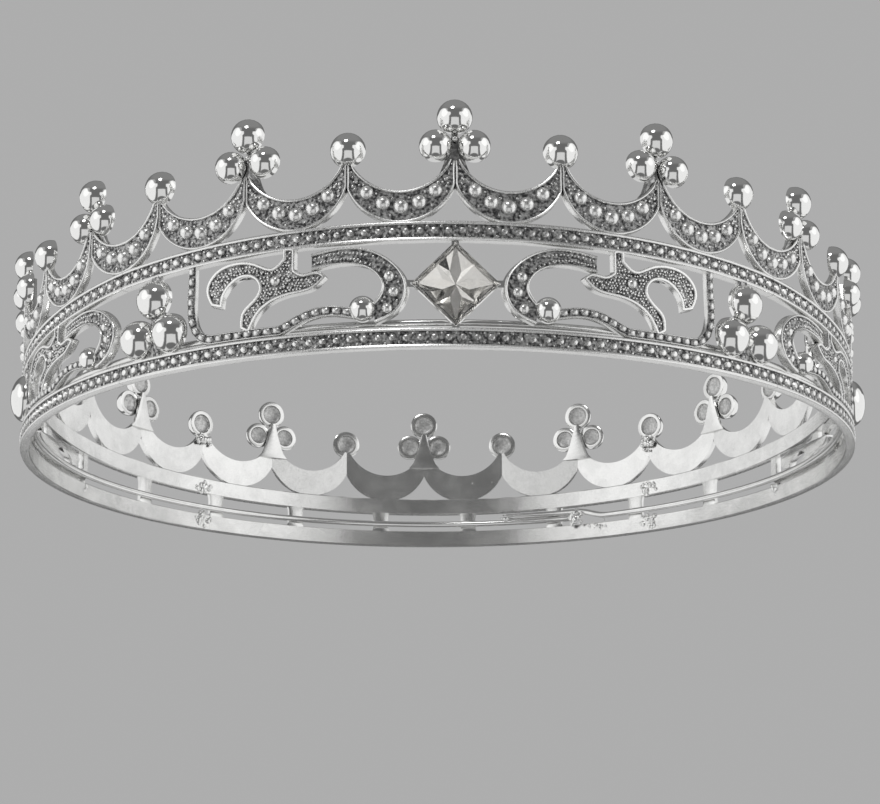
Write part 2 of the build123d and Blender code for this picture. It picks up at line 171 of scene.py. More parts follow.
# ---- solder: degrees round, then height, half-width and half-height in mm, and how many lumps ----
JOINT_DEGREES = np.degrees(REAR_JOINT)
WALL_SOLDER = [(joint, *patch) for joint in (JOINT_DEGREES, 360 - JOINT_DEGREES)
               for patch in ((19.8, 1.9, 1.5, 12), (9.4, 2.2, 1.5, 14), (2.2, 2.2, 1.6, 14))]
WALL_SOLDER += [(114.2, 2.6, 1.6, 1.3, 9), (245.8, 2.6, 1.6, 1.3, 9), (150.6, 3.0, 2.6, 1.1, 10),
                (168.5, 14.5, 0.7, 0.3, 3), (172.0, 14.4, 0.5, 0.3, 3), (201.0, 9.2, 1.0, 0.4, 4)]
WIRE_SOLDER = [(166.5, 5.6, 1.1, 0.9, 7), (154.3, 4.8, 1.9, 1.7, 14)]
WIRE_SOLDER_RADIUS = RING_RADIUS - 3.1 * MM

# ---- studio ----
FLOOR_RADIUS = 3.0
LAMPS = (("soft_left", (-0.72, -0.32, 0.34), 0.7, 0.25),     # place, width, power
         ("soft_right", (0.72, -0.32, 0.34), 0.7, 0.25),
         ("spark", (-0.17, -0.56, 0.62), 0.22, 0.8))
LAMP_TARGET = (0, 0, 0.015)
CAMERA_DISTANCE = 0.47462
CAMERA_BELOW, CAMERA_TURN, CAMERA_ROLL = np.radians([13.693, 2.226, -0.2546])
CAMERA_LENS, CAMERA_SHIFT = 100.03, (0.0027, 0.0701)


# ================================================================ settings

def length(name, description, default):
    """A length in metres."""
    return bpy.props.FloatProperty(name=name, description=description, default=default, min=0.0,
                                   precision=5, subtype="DISTANCE", unit="LENGTH")


def colour(name, description, default):
    """A colour of three numbers."""
    return bpy.props.FloatVectorProperty(name=name, description=description, default=default,
                                         size=3, min=0.0, max=1.0, subtype="COLOR")


def share(name, description, default):
    """A number from 0 to 1."""
    return bpy.props.FloatProperty(name=name, description=description, default=default,
                                   min=0.0, max=1.0, subtype="FACTOR")


class CrownSizes(bpy.types.PropertyGroup):
    """Sizes of the crown's relief that a maker would change."""
    band_thickness: length("Band thickness", "From the inner wall to the rims", 1.8 * MM)
    rim: length("Rim width", "Width of the raised rims along the bands", 0.6 * MM)
    channel: length("Channel depth", "How far the beaded channel is sunk", 0.42 * MM)
    side_top: length("Side gallery top", "Underside of the upper band half-way round each side",
                     11.45 * MM)
    bead_pitch: length("Bead pitch", "From bead to bead along the bands", 2.31 * MM)
    bead_radius: length("Bead radius", "Radius of the bands' beads", 0.70 * MM)
    grain_radius: length("Grain radius", "Radius of the small grains between the beads", 0.27 * MM)
    crescent_bead: length("Crescent bead radius", "Radius of the five beads on each crescent",
                          1.32 * MM)
    crescent_rim: length("Crescent rim width", "Width of the rims round each crescent", 0.46 * MM)
    tip_dome: length("Tip dome radius", "Radius of the single and topmost domes on the tips",
                     3.0 * MM)
    low_dome: length("Lower dome radius", "Radius of the paired domes on the tips", 2.78 * MM)
    gallery_dome: length("Gallery dome radius", "Radius of the three large domes in the gallery",
                         3.48 * MM)
    side_dome: length("Side dome radius", "Radius of the single dome at each side", 4.4 * MM)
    scroll_dome: length("Scroll dome radius", "Radius of the dome at a scroll's foot", 2.25 * MM)
    ornament_rim: length("Ornament rim width", "Width of the rims of scrolls and leaves", 0.56 * MM)
    vine_width: length("Vine width", "Width of the beaded vines and posts", 1.85 * MM)
    wire_radius: length("Wire radius", "Radius of the round wire inside", 0.65 * MM)


class CrownFinish(bpy.types.PropertyGroup):
    """Colours and polish of the crown."""
    silver: colour("Silver", "Colour of worn raised silver", (0.88, 0.88, 0.87))
    oxide: colour("Oxide", "Colour of the darkest deposit in the hollows", (0.065, 0.065, 0.067))
    worn_oxide: colour("Worn oxide", "Colour of the hollows where the deposit has rubbed off",
                       (0.60, 0.60, 0.595))
    satin: colour("Satin", "Colour of the plain backs and the inner wall", (0.86, 0.86, 0.85))
    crystal: colour("Crystal", "Tint of the stone", (1.0, 0.98, 0.95))
    polish: share("Polish", "Roughness of the domes", 0.085)
    relief_roughness: share("Relief roughness", "Roughness of worn raised silver", 0.28)
    floor: colour("Floor", "Colour of the studio floor", (0.92, 0.92, 0.92))


# ================================================================ shapes as arrays

def grid_faces(rows, columns, wrap=False, around=False):
    """Four-cornered faces between neighbouring points of a grid, closed across the columns with
    wrap and across the rows with around."""
    row, column = np.meshgrid(np.arange(rows if around else rows - 1),
                              np.arange(columns if wrap else columns - 1), indexing="ij")
    after, below = (column + 1) % columns, (row + 1) % rows
    corners = (row * columns + column, row * columns + after, below * columns + after,
               below * columns + column)
    return np.stack(corners, -1).reshape(-1, 4)


def tube_faces(rows, columns):
    """Faces of a closed section carried along a path, with a cap at each end."""
    edge = np.arange(columns)
    return [grid_faces(rows, columns, wrap=True), edge[::-1][None],
            (edge + (rows - 1) * columns)[None]]


def lathe(profile, segments):
    """A profile of (radius, height) pairs turned about the height axis. Its first and last points
    lie on the axis and become poles. Returns points, faces and the profile row of each point."""
    profile = np.asarray(profile, float)
    ring = profile[1:-1]
    column = np.arange(segments)
    turn = column * TURN / segments
    circle = np.stack([np.cos(turn), np.sin(turn)], -1)
    level = np.broadcast_to(ring[:, None, 1:], (len(ring), segments, 1))
    wall = np.concatenate([ring[:, None, :1] * circle, level], -1).reshape(-1, 3)
    poles = np.array([[0, 0, profile[0, 1]], [0, 0, profile[-1, 1]]])
    after = (column + 1) % segments
    first, last, base = len(wall), len(wall) + 1, (len(ring) - 1) * segments
    fans = [np.stack([np.full(segments, first), after, column], -1),
            np.stack([np.full(segments, last), base + column, base + after], -1)]
    rows = np.repeat(np.arange(1, len(profile) - 1), segments)
    rows = np.concatenate([rows, [0, len(profile) - 1]])
    faces = [grid_faces(len(ring), segments, wrap=True)] + fans
    return np.vstack([wall, poles]), faces, rows


def enclosed(points, patches):
    """Six times the volume that faces enclose: for each face, a fan of triangles from its first
    corner, each the triple product of its corners. It is negative when they face inward."""
    total = 0.0
    for patch in patches:
        a = points[patch[:, 0]]
        for k in range(1, patch.shape[1] - 1):
            total += np.einsum("ij,ij->", a, np.cross(points[patch[:, k]], points[patch[:, k + 1]]))
    return total


class Relief:
    """The surfaces of one piece, gathered as arrays: points, faces and two finish values at each
    point, recess (0 on worn relief, 1 in dark hollows; on the mirror foil it holds painted dark
    reflections) and satin (1 on plain backs and inner walls)."""

    def __init__(self):
        self.points, self.patches, self.recess, self.satin, self.count = [], [], [], [], 0

    def add(self, points, patches, recess=0.0, satin=0.0):
        """One more closed surface, turned to face outward."""
        points = np.asarray(points, float).reshape(-1, 3)
        if enclosed(points - points.mean(0), patches) < 0:
            patches = [patch[:, ::-1] for patch in patches]
        self.patches += [patch + self.count for patch in patches]
        self.points.append(points)
        self.recess.append(np.broadcast_to(recess, len(points)))
        self.satin.append(np.broadcast_to(satin, len(points)))
        self.count += len(points)

    def build(self, name, slot, *nodes, crease=38.0):
        """One mesh object at the origin that rides on the crown and stands for CAD nodes. Edges
        that turn by more than the crease, in degrees, stay sharp."""
        points = np.concatenate(self.points)
        corners = np.concatenate([patch.ravel() for patch in self.patches])
        sizes = np.concatenate([np.full(len(patch), patch.shape[1]) for patch in self.patches])
        mesh = bpy.data.meshes.new(name)
        mesh.vertices.add(len(points))
        mesh.vertices.foreach_set("co", points.ravel().astype(np.float32))
        mesh.loops.add(len(corners))
        mesh.loops.foreach_set("vertex_index", corners.astype(np.int32))
        mesh.polygons.add(len(sizes))
        mesh.polygons.foreach_set("loop_start", (np.cumsum(sizes) - sizes).astype(np.int32))
        mesh.update(calc_edges=True)
        for word, values in (("recess", self.recess), ("satin", self.satin)):
            layer = mesh.attributes.new(word, "FLOAT", "POINT")
            layer.data.foreach_set("value", np.concatenate(values).astype(np.float32))
        if mesh.validate():
            raise RuntimeError(f"{name}: its faces don't make a sound mesh")
        mesh.shade_smooth()
        mesh.set_sharp_from_angle(angle=np.radians(crease))
        mesh.materials.append(finish_named(slot))
        piece = bpy.data.objects.new(name, mesh)
        bpy.context.scene.collection.objects.link(piece)
        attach(piece, "root")
        if nodes:
            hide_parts(*nodes)
        return piece


def smooth_curve(points, steps):
    """A natural cubic spline through points, by chord length: the second derivatives at the points
    solve the tridiagonal system that makes slopes agree, and each span is the cubic with those
    derivatives."""
    points = np.asarray(points, float)
    span = np.linalg.norm(np.diff(points, axis=0), axis=1)
    knots = np.concatenate([[0], np.cumsum(span)])
    size = len(points)
    system, right = np.eye(size), np.zeros_like(points)
    middle = np.arange(1, size - 1)
    system[middle, middle - 1] = span[:-1]
    system[middle, middle] = 2 * (span[:-1] + span[1:])
    system[middle, middle + 1] = span[1:]
    slope = np.diff(points, axis=0) / span[:, None]
    right[1:-1] = 6 * np.diff(slope, axis=0)
    bend = np.linalg.solve(system, right)
    at = np.linspace(0, knots[-1], steps)
    k = np.clip(np.searchsorted(knots, at, side="right") - 1, 0, size - 2)
    near, far, wide = (knots[k + 1] - at)[:, None], (at - knots[k])[:, None], span[k][:, None]
    return (bend[k] * near ** 3 / (6 * wide) + bend[k + 1] * far ** 3 / (6 * wide)
            + (points[k] / wide - bend[k] * wide / 6) * near
            + (points[k + 1] / wide - bend[k + 1] * wide / 6) * far)


def resample(points, steps):
    """Points evenly spaced by length along a polyline."""
    along = np.concatenate([[0], np.cumsum(np.linalg.norm(np.diff(points, axis=0), axis=1))])
    at = np.linspace(0, along[-1], steps)
    return np.stack([np.interp(at, along, column) for column in points.T], -1)


def points_at(path, steps):
    """Points at fractional steps along a path, on the straight lines between its own points."""
    return np.stack([np.interp(steps, np.arange(len(path)), column) for column in path.T], -1)


def inset(outline, distance):
    """A closed outline moved inward: each corner goes along the mean of its two edges' normals,
    longer at sharp corners up to one and a half times."""
    edge = np.roll(outline, -1, 0) - outline
    edge /= np.linalg.norm(edge, axis=1, keepdims=True)
    normal = np.stack([-edge[:, 1], edge[:, 0]], -1)
    mean = normal + np.roll(normal, 1, 0)
    mean /= np.linalg.norm(mean, axis=1, keepdims=True)
    reach = 1 / np.clip(np.einsum("ij,ij->i", mean, normal), 0.66, 1)
    return outline + mean * (reach * distance)[:, None]


def turned_left(outline):
    """An outline that runs anticlockwise, turned round if its signed area is negative."""
    after = np.roll(outline, -1, 0)
    area = (outline[:, 0] * after[:, 1] - after[:, 0] * outline[:, 1]).sum()
    return outline if area > 0 else outline[::-1]


def inside(points, outline):
    """Which points lie within an outline: a ray to the right crosses it an odd number of times."""
    after = np.roll(outline, -1, 0)
    x, y = points[:, :1], points[:, 1:]
    rises = (outline[:, 1] > y) != (after[:, 1] > y)
    tall = after[:, 1] - outline[:, 1] + 1e-15
    run = (after[:, 0] - outline[:, 0]) * (y - outline[:, 1]) / tall + outline[:, 0]
    return (rises & (x < run)).sum(1) % 2 == 1


# ================================================================ places on the crown

def around(angle, radius, height):
    """A point on a cylinder about the crown's axis: radius times the angle's sine and minus its
    cosine."""
    angle, radius, height = np.broadcast_arrays(angle, radius, height)
    return np.stack([radius * np.sin(angle), -radius * np.cos(angle), height], -1)


def flat_on(angle, across, height, radius):
    """A point of the plane that touches the cylinder of a radius: pushed out by the radius, then
    moved along the ring by across."""
    angle, across, height, radius = np.broadcast_arrays(angle, across, height, radius)
    sine, cosine = np.sin(angle), np.cos(angle)
    return np.stack([radius * sine + across * cosine, -radius * cosine + across * sine, height], -1)


def curved_on(angle, across, height, radius):
    """A point of the touching plane carried straight in onto the cylinder of a radius."""
    return flat_on(angle, across, height, np.sqrt(radius ** 2 - across ** 2))


def panel_height(angles, heights):
    """The plane through three points of the wall, as weights of one, the angle's sine and its
    cosine."""
    terms = np.stack([np.ones(3), np.sin(angles), np.cos(angles)], -1)
    return np.linalg.solve(terms, np.array(heights))


def gallery_top(angle):
    """Height of the upper band's underside. On each panel it lies in the plane through three
    points of the wall, so it goes with the sine and cosine of the angle from the front."""
    side_top = bpy.context.scene.crown_sizes.side_top
    turn = np.abs((np.asarray(angle, float) + np.pi) % TURN - np.pi)
    terms = np.stack([np.ones_like(turn), np.sin(turn), np.cos(turn)], -1)
    front = panel_height([-FRONT_JOINT, 0, FRONT_JOINT],
                         [FRONT_JOINT_TOP, FRONT_TOP, FRONT_JOINT_TOP])
    side = panel_height([FRONT_JOINT, (FRONT_JOINT + REAR_JOINT) / 2, REAR_JOINT],
                        [FRONT_JOINT_TOP, side_top, REAR_JOINT_TOP])
    rear = panel_height([REAR_JOINT, np.pi, TURN - REAR_JOINT],
                        [REAR_JOINT_TOP, REAR_TOP, REAR_JOINT_TOP])
    return np.select([turn <= FRONT_JOINT, turn < REAR_JOINT], [terms @ front, terms @ side],
                     terms @ rear)


def crown_edge(angle):
    """Height of the upper band's upper edge."""
    return gallery_top(angle) + BAND_HEIGHT


def gallery_share(angle):
    """How tall the gallery is at an angle, as a share of its height at the front."""
    return (gallery_top(angle) - BAND_HEIGHT) / (FRONT_TOP - BAND_HEIGHT)


# ================================================================ strips, plates, beads

# across a rim, from its outer edge to the sunk floor: shares of its width, recess and satin
RIM_STEPS = np.array([0.0, 0.0, 0.18, 0.5, 0.82, 1.0, 1.12])
RIM_RECESS = np.array([0, 0, 0, 0, 0, 0.5, 1.0])
RIM_SATIN = np.array([1.0, 0.3, 0, 0, 0, 0, 0])
GROOVE_RECESS = 1.6


def mirrored(values):
    """Values followed by the same values backwards."""
    return np.concatenate([values, values[::-1]])


def rim_depths(rim, sunk, thickness, flank=0.42, shoulder=0.12):
    """Depths of the section over one rim, from the back edge over its rounded top to the sunk
    floor. flank and shoulder are the depths at its sides and beside its top, as shares of its
    width."""
    flank, shoulder = flank * rim, shoulder * rim
    return np.array([thickness, flank, shoulder, 0.0, shoulder, flank, sunk])


def ribbon(relief, outer, inner, rim, sunk, thickness, place, groove=None, dark=0.0):
    """A strip between two edge curves of equally many points. At each step its section runs from
    the outer curve over a rounded rim, down to a sunk floor, over the second rim to the inner curve
    and back behind. place turns flat points and a depth behind the front into points in space.
    groove marks the steps whose outer side is the dark wall of a groove, and dark is the least
    recess value."""
    reach = inner - outer
    width = np.linalg.norm(reach, axis=1, keepdims=True)
    first = RIM_STEPS * np.minimum(rim, 0.3 * width)
    travel = np.concatenate([first, (width - first)[:, ::-1]], 1)
    rows, columns = travel.shape
    depth = np.broadcast_to(mirrored(rim_depths(rim, sunk, thickness)), (rows, columns))
    flat = outer[:, None] + (reach / width)[:, None] * travel[..., None]
    recess = np.maximum(np.tile(mirrored(RIM_RECESS), (rows, 1)), dark)
    if groove is not None:
        recess[groove, 1] = GROOVE_RECESS
    relief.add(place(flat, depth), tube_faces(rows, columns), recess.ravel(),
               np.tile(mirrored(RIM_SATIN), rows))


def oriented(triangles, outline, sense):
    """Triangles of an outline, each turned so that its signed area has the sense's sign."""
    a, b, c = [outline[triangles[:, k]] for k in range(3)]
    area = (b[:, 0] - a[:, 0]) * (c[:, 1] - a[:, 1]) - (b[:, 1] - a[:, 1]) * (c[:, 0] - a[:, 0])
    return np.where((area * sense > 0)[:, None], triangles, triangles[:, ::-1])


def plate(relief, outline, rim, sunk, thickness, place):
    """A flat plate of any outline: the rim section carried round the outline, each step moved
    inward, with triangles for the sunk floor and for the back."""
    outline = turned_left(outline)
    rings = np.stack([inset(outline, step * rim) for step in RIM_STEPS], 1)
    rows, columns = rings.shape[:2]
    depth = np.broadcast_to(rim_depths(rim, sunk, thickness, 0.36, 0.07), (rows, columns))
    filling = np.array(tessellate_polygon([[Vector((*point, 0)) for point in outline]]))
    faces = [grid_faces(rows, columns, around=True), oriented(filling, outline, 1) * columns,
             oriented(filling, outline, -1) * columns + columns - 1]
    relief.add(place(rings, depth), faces, np.tile(RIM_RECESS, rows), np.tile(RIM_SATIN, rows))


def bead_shape(segments, rings, foot=0.35):
    """A bead of radius one: a dome closed below by a shallow cone, with a darker foot."""
    lift = np.linspace(0, np.pi / 2, rings + 1)
    profile = [(0, -foot)] + [(np.cos(t), np.sin(t)) for t in lift[:-1]] + [(0, 1)]
    points, faces, rows = lathe(profile, segments)
    return points, faces, np.select([rows == 0, rows == 1, rows == 2], [1.0, 0.5, 0.12], 0.0)


def pillow_shape(segments, rings):
    """A bead whose outline is squared: each ring's radius is divided by the fourth root of the sum
    of the fourth powers of its cosine and sine."""
    points, faces, recess = bead_shape(segments, rings)
    reach = np.linalg.norm(points[:, :2], axis=1)
    way = points[:, :2] / np.maximum(reach, 1e-9)[:, None]
    square = np.where(reach > 1e-9, (way ** 4).sum(1), 1.0) ** -0.25
    points[:, :2] *= square[:, None]
    return points, faces, np.where(recess > 0.1, 0.85, 0.25)


BEAD = bead_shape(8, 2)
GRAIN = bead_shape(5, 2)
BOSS = bead_shape(12, 3)
PILLOW = pillow_shape(12, 3)


def scatter(relief, shape, centres, angles, radii, rise=1.0, satin=0.0, turns=0.0, stretch=1.0):
    """Copies of a shape: each point is the centre plus the radius times the shape's steps along the
    ring, up, and outward, where rise squeezes or stretches the outward ones. Before that, each copy
    is stretched along its own length and turned within the wall."""
    points, faces, recess = shape
    centres = np.asarray(centres).reshape(-1, 3)
    count = len(centres)
    angles, radii, turns = [np.broadcast_to(values, count) for values in (angles, radii, turns)]
    along = np.stack([np.cos(angles), np.sin(angles), 0 * angles], -1)
    out = np.stack([np.sin(angles), -np.cos(angles), 0 * angles], -1)
    up = np.array([0, 0, 1.0])
    turns = turns[:, None, None]
    x, y = stretch * points[None, :, :1], points[None, :, 1:2]
    steps = ((np.cos(turns) * x - np.sin(turns) * y) * along[:, None]
             + (np.sin(turns) * x + np.cos(turns) * y) * up
             + rise * points[None, :, 2:] * out[:, None])
    placed = centres[:, None] + radii[:, None, None] * steps
    shift = (np.arange(count) * len(points))[:, None, None]
    patches = [(patch[None] + shift).reshape(-1, patch.shape[1]) for patch in faces]
    relief.add(placed, patches, np.tile(recess, count), satin)


def add_dome(relief, angle, across, height, radius, segments=28, rise=1.0):
    """A hollow half ball open behind, its centre just inside the wall: a circle's arc from the
    front pole past the widest ring, a flat rim, then a smaller and flatter arc back to the axis.
    rise squeezes it outward."""
    cup, flatness, front_rings, cup_rings = radius - DOME_WALL, 0.28, 15, 9
    edge = np.pi / 2 + np.arcsin(DOME_BACK / radius)
    hollow = np.pi / 2 + np.arcsin(DOME_BACK / cup)
    profile = [(radius * np.sin(t), radius * np.cos(t))
               for t in np.linspace(0, edge - 0.03, front_rings)]
    profile += [((radius - 0.18 * DOME_WALL) * np.sin(edge), -DOME_BACK),
                ((radius - 0.9 * DOME_WALL) * np.sin(hollow), -DOME_BACK)]
    profile += [(cup * np.sin(t), flatness * cup * np.cos(t))
                for t in np.linspace(hollow - 0.05, 0, cup_rings)]
    profile[0], profile[-1] = (0, profile[0][1]), (0, profile[-1][1])
    points, faces, rows = lathe(profile, segments)
    in_cup, on_rim = rows >= front_rings + 3, rows >= front_rings
    centre = flat_on(angle, across, height, DOME_CENTRE)
    along = np.array([np.cos(angle), np.sin(angle), 0])
    out = np.array([np.sin(angle), -np.cos(angle), 0])
    placed = (centre + points[:, :1] * along + points[:, 1:2] * np.array([0, 0, 1])
              + rise * points[:, 2:] * out)
    relief.add(placed, faces, np.where(in_cup, 0.45, 0.0), np.select([in_cup, on_rim], [2.4, 1.0]))


def add_bar(relief, angle, across, low, high, radius, width, thickness, flare=0.0, satin=0.5,
            recess=0.0, taper=0.0):
    """An upright bar with rounded corners: an eight-sided section, wider towards both ends by the
    flare times the fourth power of the distance from its middle, and narrower towards the top by
    the taper times the 0.6th power of the share of the height. recess darkens its front."""
    cut = 0.28
    section = np.array([(-1, -1 + cut), (-1 + cut, -1), (1 - cut, -1), (1, -1 + cut),
                        (1, 1 - cut), (1 - cut, 1), (-1 + cut, 1), (-1, 1 - cut)]) * 0.5
    step = np.linspace(-1, 1, 9)
    wide = width + flare * step ** 4 - taper * ((step + 1) / 2) ** 0.6
    rows, columns = len(step), len(section)
    x = across + section[None, :, 0] * wide[:, None]
    out = radius + np.broadcast_to(section[:, 1] * thickness, (rows, columns))
    height = ((high + low) / 2 + step * (high - low) / 2)[:, None]
    relief.add(curved_on(angle, x, np.broadcast_to(height, (rows, columns)), out),
               tube_faces(rows, columns), np.tile(np.where(section[:, 1] > 0, recess, 0.0), rows),
               satin)


# ================================================================ finishes

def feed(tree, socket, value):
    """Links an input to another node's output, or sets it to a number or a solid colour."""
    if isinstance(value, bpy.types.NodeSocket):
        tree.links.new(value, socket)
    else:
        socket.default_value = value if isinstance(value, float) else (*value, 1.0)


def node(tree, kind, label="", inputs=None, **settings):
    """A shader node with its settings, and its inputs fed by name or number."""
    item = tree.nodes.new("ShaderNode" + kind)
    item.label = label
    for word, value in settings.items():
        setattr(item, word, value)
    for key, value in (inputs or {}).items():
        feed(tree, item.inputs[key], value)
    return item


def ramp(tree, label, value, low, high, start=0.0, end=1.0, curve="SMOOTHSTEP"):
    """Maps a value between low and high onto start to end."""
    inputs = {"Value": value, "From Min": low, "From Max": high, "To Min": start, "To Max": end}
    return node(tree, "MapRange", label, inputs, interpolation_type=curve).outputs["Result"]


def mix(tree, label, factor, first, second):
    """A colour between two, each a colour or a socket."""
    return node(tree, "Mix", label, data_type="RGBA",
                inputs=dict(zip((0, 6, 7), (factor, first, second)))).outputs[2]


def reckon(tree, label, operation, first, second=0.0):
    """One operation on two numbers, each a number or a socket."""
    return node(tree, "Math", label, {0: first, 1: second}, operation=operation).outputs[0]


def noise(tree, label, place, scale, detail, roughness=0.5):
    """Noise of a scale, in waves to the metre."""
    inputs = {"Vector": place, "Scale": scale, "Detail": detail, "Roughness": roughness}
    return node(tree, "TexNoise", label, inputs).outputs["Fac"]


def attribute(tree, word):
    """A finish value that the mesh carries."""
    return node(tree, "Attribute", word, attribute_name=word).outputs["Fac"]


def new_material(name):
    """An empty material with its shader and the place on the piece."""
    material = bpy.data.materials.new(name)
    material.use_nodes = True
    tree = material.node_tree
    tree.nodes.clear()
    shader = node(tree, "BsdfPrincipled")
    node(tree, "OutputMaterial", inputs={"Surface": shader.outputs[0]})
    return material, tree, shader, node(tree, "TexCoord", "place").outputs["Object"]


def silver(name, relief_roughness, tarnish, grain):
    """Plated silver. Noise of about a millimetre shifts the recess value, which turns worn metal
    into a mottled deposit, dark where a finer noise is low and rubbed grey where it is high, and
    makes it rougher. Where satin is high the metal is pale, a little cloudy and soft. A fine noise
    roughens it all, and a bump of the finer noises gives the cast surface its grain."""
    finish = bpy.context.scene.crown_finish
    material, tree, shader, place = new_material(name)
    recess, satin = attribute(tree, "recess"), attribute(tree, "satin")
    patches = noise(tree, "tarnish patches", place, 700.0, 3.0, 0.6)
    speckle = noise(tree, "deposit speckle", place, 1900.0, 3.0, 0.6)
    fine = noise(tree, "fine grain", place, 4200.0, 2.0)
    cloud = noise(tree, "clouds", place, 190.0, 4.0, 0.62)
    shift = reckon(tree, "centred", "SUBTRACT", patches, 0.45)
    shift = reckon(tree, "tarnish", "MULTIPLY", shift, tarnish)
    dark = ramp(tree, "oxide", reckon(tree, "hollow", "ADD", recess, shift), 0.10, 0.90)
    rubbed = reckon(tree, "rubbed", "SUBTRACT", ramp(tree, "speckle edge", speckle, 0.36, 0.66),
                    ramp(tree, "deep", recess, 1.0, 1.5))
    deposit = mix(tree, "deposit", ramp(tree, "kept", rubbed, 0.0, 1.0, curve="LINEAR"),
                  finish.oxide, finish.worn_oxide)
    cloudy = mix(tree, "cloudy satin", ramp(tree, "cloud edge", cloud, 0.35, 0.68),
                 tuple(0.86 * value for value in finish.satin), finish.satin)
    worn = mix(tree, "plain back", satin, finish.silver, cloudy)
    feed(tree, shader.inputs["Base Color"], mix(tree, "oxide colour", dark, worn, deposit))
    rough = ramp(tree, "grain roughness", fine, 0.3, 0.7, relief_roughness * 0.7,
                 relief_roughness * 1.35)
    rough = reckon(tree, "oxide roughness", "ADD", rough,
                   reckon(tree, "dull", "MULTIPLY", dark, 0.26))
    rough = reckon(tree, "smoother backs", "MULTIPLY", rough,
                   ramp(tree, "back", satin, 0.0, 1.0, 1.0, 0.72, "LINEAR"))
    plain = reckon(tree, "satin roughness", "MULTIPLY", satin,
                   ramp(tree, "cloud roughness", cloud, 0.3, 0.75, 0.15, 0.27))
    feed(tree, shader.inputs["Roughness"], reckon(tree, "roughness", "MAXIMUM", rough, plain))
    shader.inputs["Metallic"].default_value = 1.0
    grit = reckon(tree, "grit", "ADD", fine,
                  reckon(tree, "pitted hollows", "MULTIPLY", speckle, dark))
    bump = node(tree, "Bump", "cast grain",
                {"Strength": grain, "Distance": 0.06 * MM, "Height": grit})
    feed(tree, shader.inputs["Normal"], bump.outputs["Normal"])
    return material


def crystal_glass(name):
    """Clear crystal: refracting glass whose tint drifts very slightly through the stone."""
    material, tree, shader, place = new_material(name)
    drift = noise(tree, "tint drift", place, 300.0, 2.0)
    tint = mix(tree, "tint", drift, bpy.context.scene.crown_finish.crystal, (1.0, 1.0, 1.0))
    feed(tree, shader.inputs["Base Color"], tint)
    shader.inputs["Transmission Weight"].default_value = 1.0
    shader.inputs["Roughness"].default_value = 0.0
    shader.inputs["IOR"].default_value = 1.5
    return material


def finish_named(slot):
    """The crown's finish for a slot, made when it is first asked for. The silvers differ in
    roughness, in how patchy the tarnish is and in the strength of the cast grain."""
    finish, name = bpy.context.scene.crown_finish, slot + "_finish"
    if name in bpy.data.materials:
        return bpy.data.materials[name]
    if slot == "crystal_glass":
        return crystal_glass(name)
    silvers = {"antique_silver": (finish.relief_roughness, 0.5, 0.22),
               "polished_silver": (finish.polish, 0.0, 0.02),
               "satin_silver": (0.2, 0.25, 0.12)}
    return silver(name, *silvers[slot])


# ================================================================ pieces

def add_band(relief, panel, underside, seed):
    """A band's section carried round one panel and lifted to the underside's height at each angle,
    with beads evenly spaced in its channel and grains above and below the gaps between them. The
    section's upper half is its lower half upside down."""
    s = bpy.context.scene.crown_sizes
    start, end = PANELS[panel]
    angles = np.linspace(start + JOINT_GAP, end - JOINT_GAP, int((end - start) / BAND_STEP) + 2)
    outer, inner = RING_RADIUS, RING_RADIUS - s.band_thickness
    floor, proud = outer - s.channel, outer + 0.03 * MM
    rim, tall, soft = s.rim, BAND_HEIGHT, EDGE_ROUNDING
    half = np.array([
        (inner + soft, 0), (outer - 1.4 * soft, 0), (outer - 0.3 * soft, 0.6 * soft),
        (proud, 0.5 * rim), (outer - 0.3 * soft, 0.92 * rim), (outer - soft, rim),
        (floor, 1.1 * rim)])
    section = np.vstack([mirrored(half), [(inner, tall - soft), (inner, soft)]])
    section[7:14, 1] = tall - half[::-1, 1]
    recess = np.concatenate([mirrored([0, 0, 0, 0, 0, 0.45, 1]), [0, 0]])
    satin = np.concatenate([mirrored([1, 0.4, 0, 0, 0, 0, 0]), [1, 1]])
    rows, columns = len(angles), len(section)
    relief.add(around(angles[:, None], section[:, 0], underside(angles)[:, None] + section[:, 1]),
               tube_faces(rows, columns), np.tile(recess, rows), np.tile(satin, rows))
    count = round((end - start) * RING_RADIUS / s.bead_pitch)
    step = (end - start) / count
    middles, gaps = start + (np.arange(count) + 0.5) * step, start + np.arange(1, count) * step
    random = np.random.default_rng(seed)
    sway = random.normal(0, 0.035 * MM, (count, 2))
    centres = around(middles + sway[:, 0] / RING_RADIUS, floor + 0.04 * MM,
                     underside(middles) + tall / 2 + sway[:, 1])
    scatter(relief, BEAD, centres, middles, s.bead_radius * random.uniform(0.94, 1.05, count), 0.86)
    for way in (-1, 1):
        heights = underside(gaps) + tall / 2 + way * GRAIN_OFFSET
        heights = heights + random.normal(0, 0.03 * MM, len(gaps))
        scatter(relief, GRAIN, around(gaps, floor, heights), gaps,
                s.grain_radius * random.uniform(0.85, 1.2, len(gaps)))


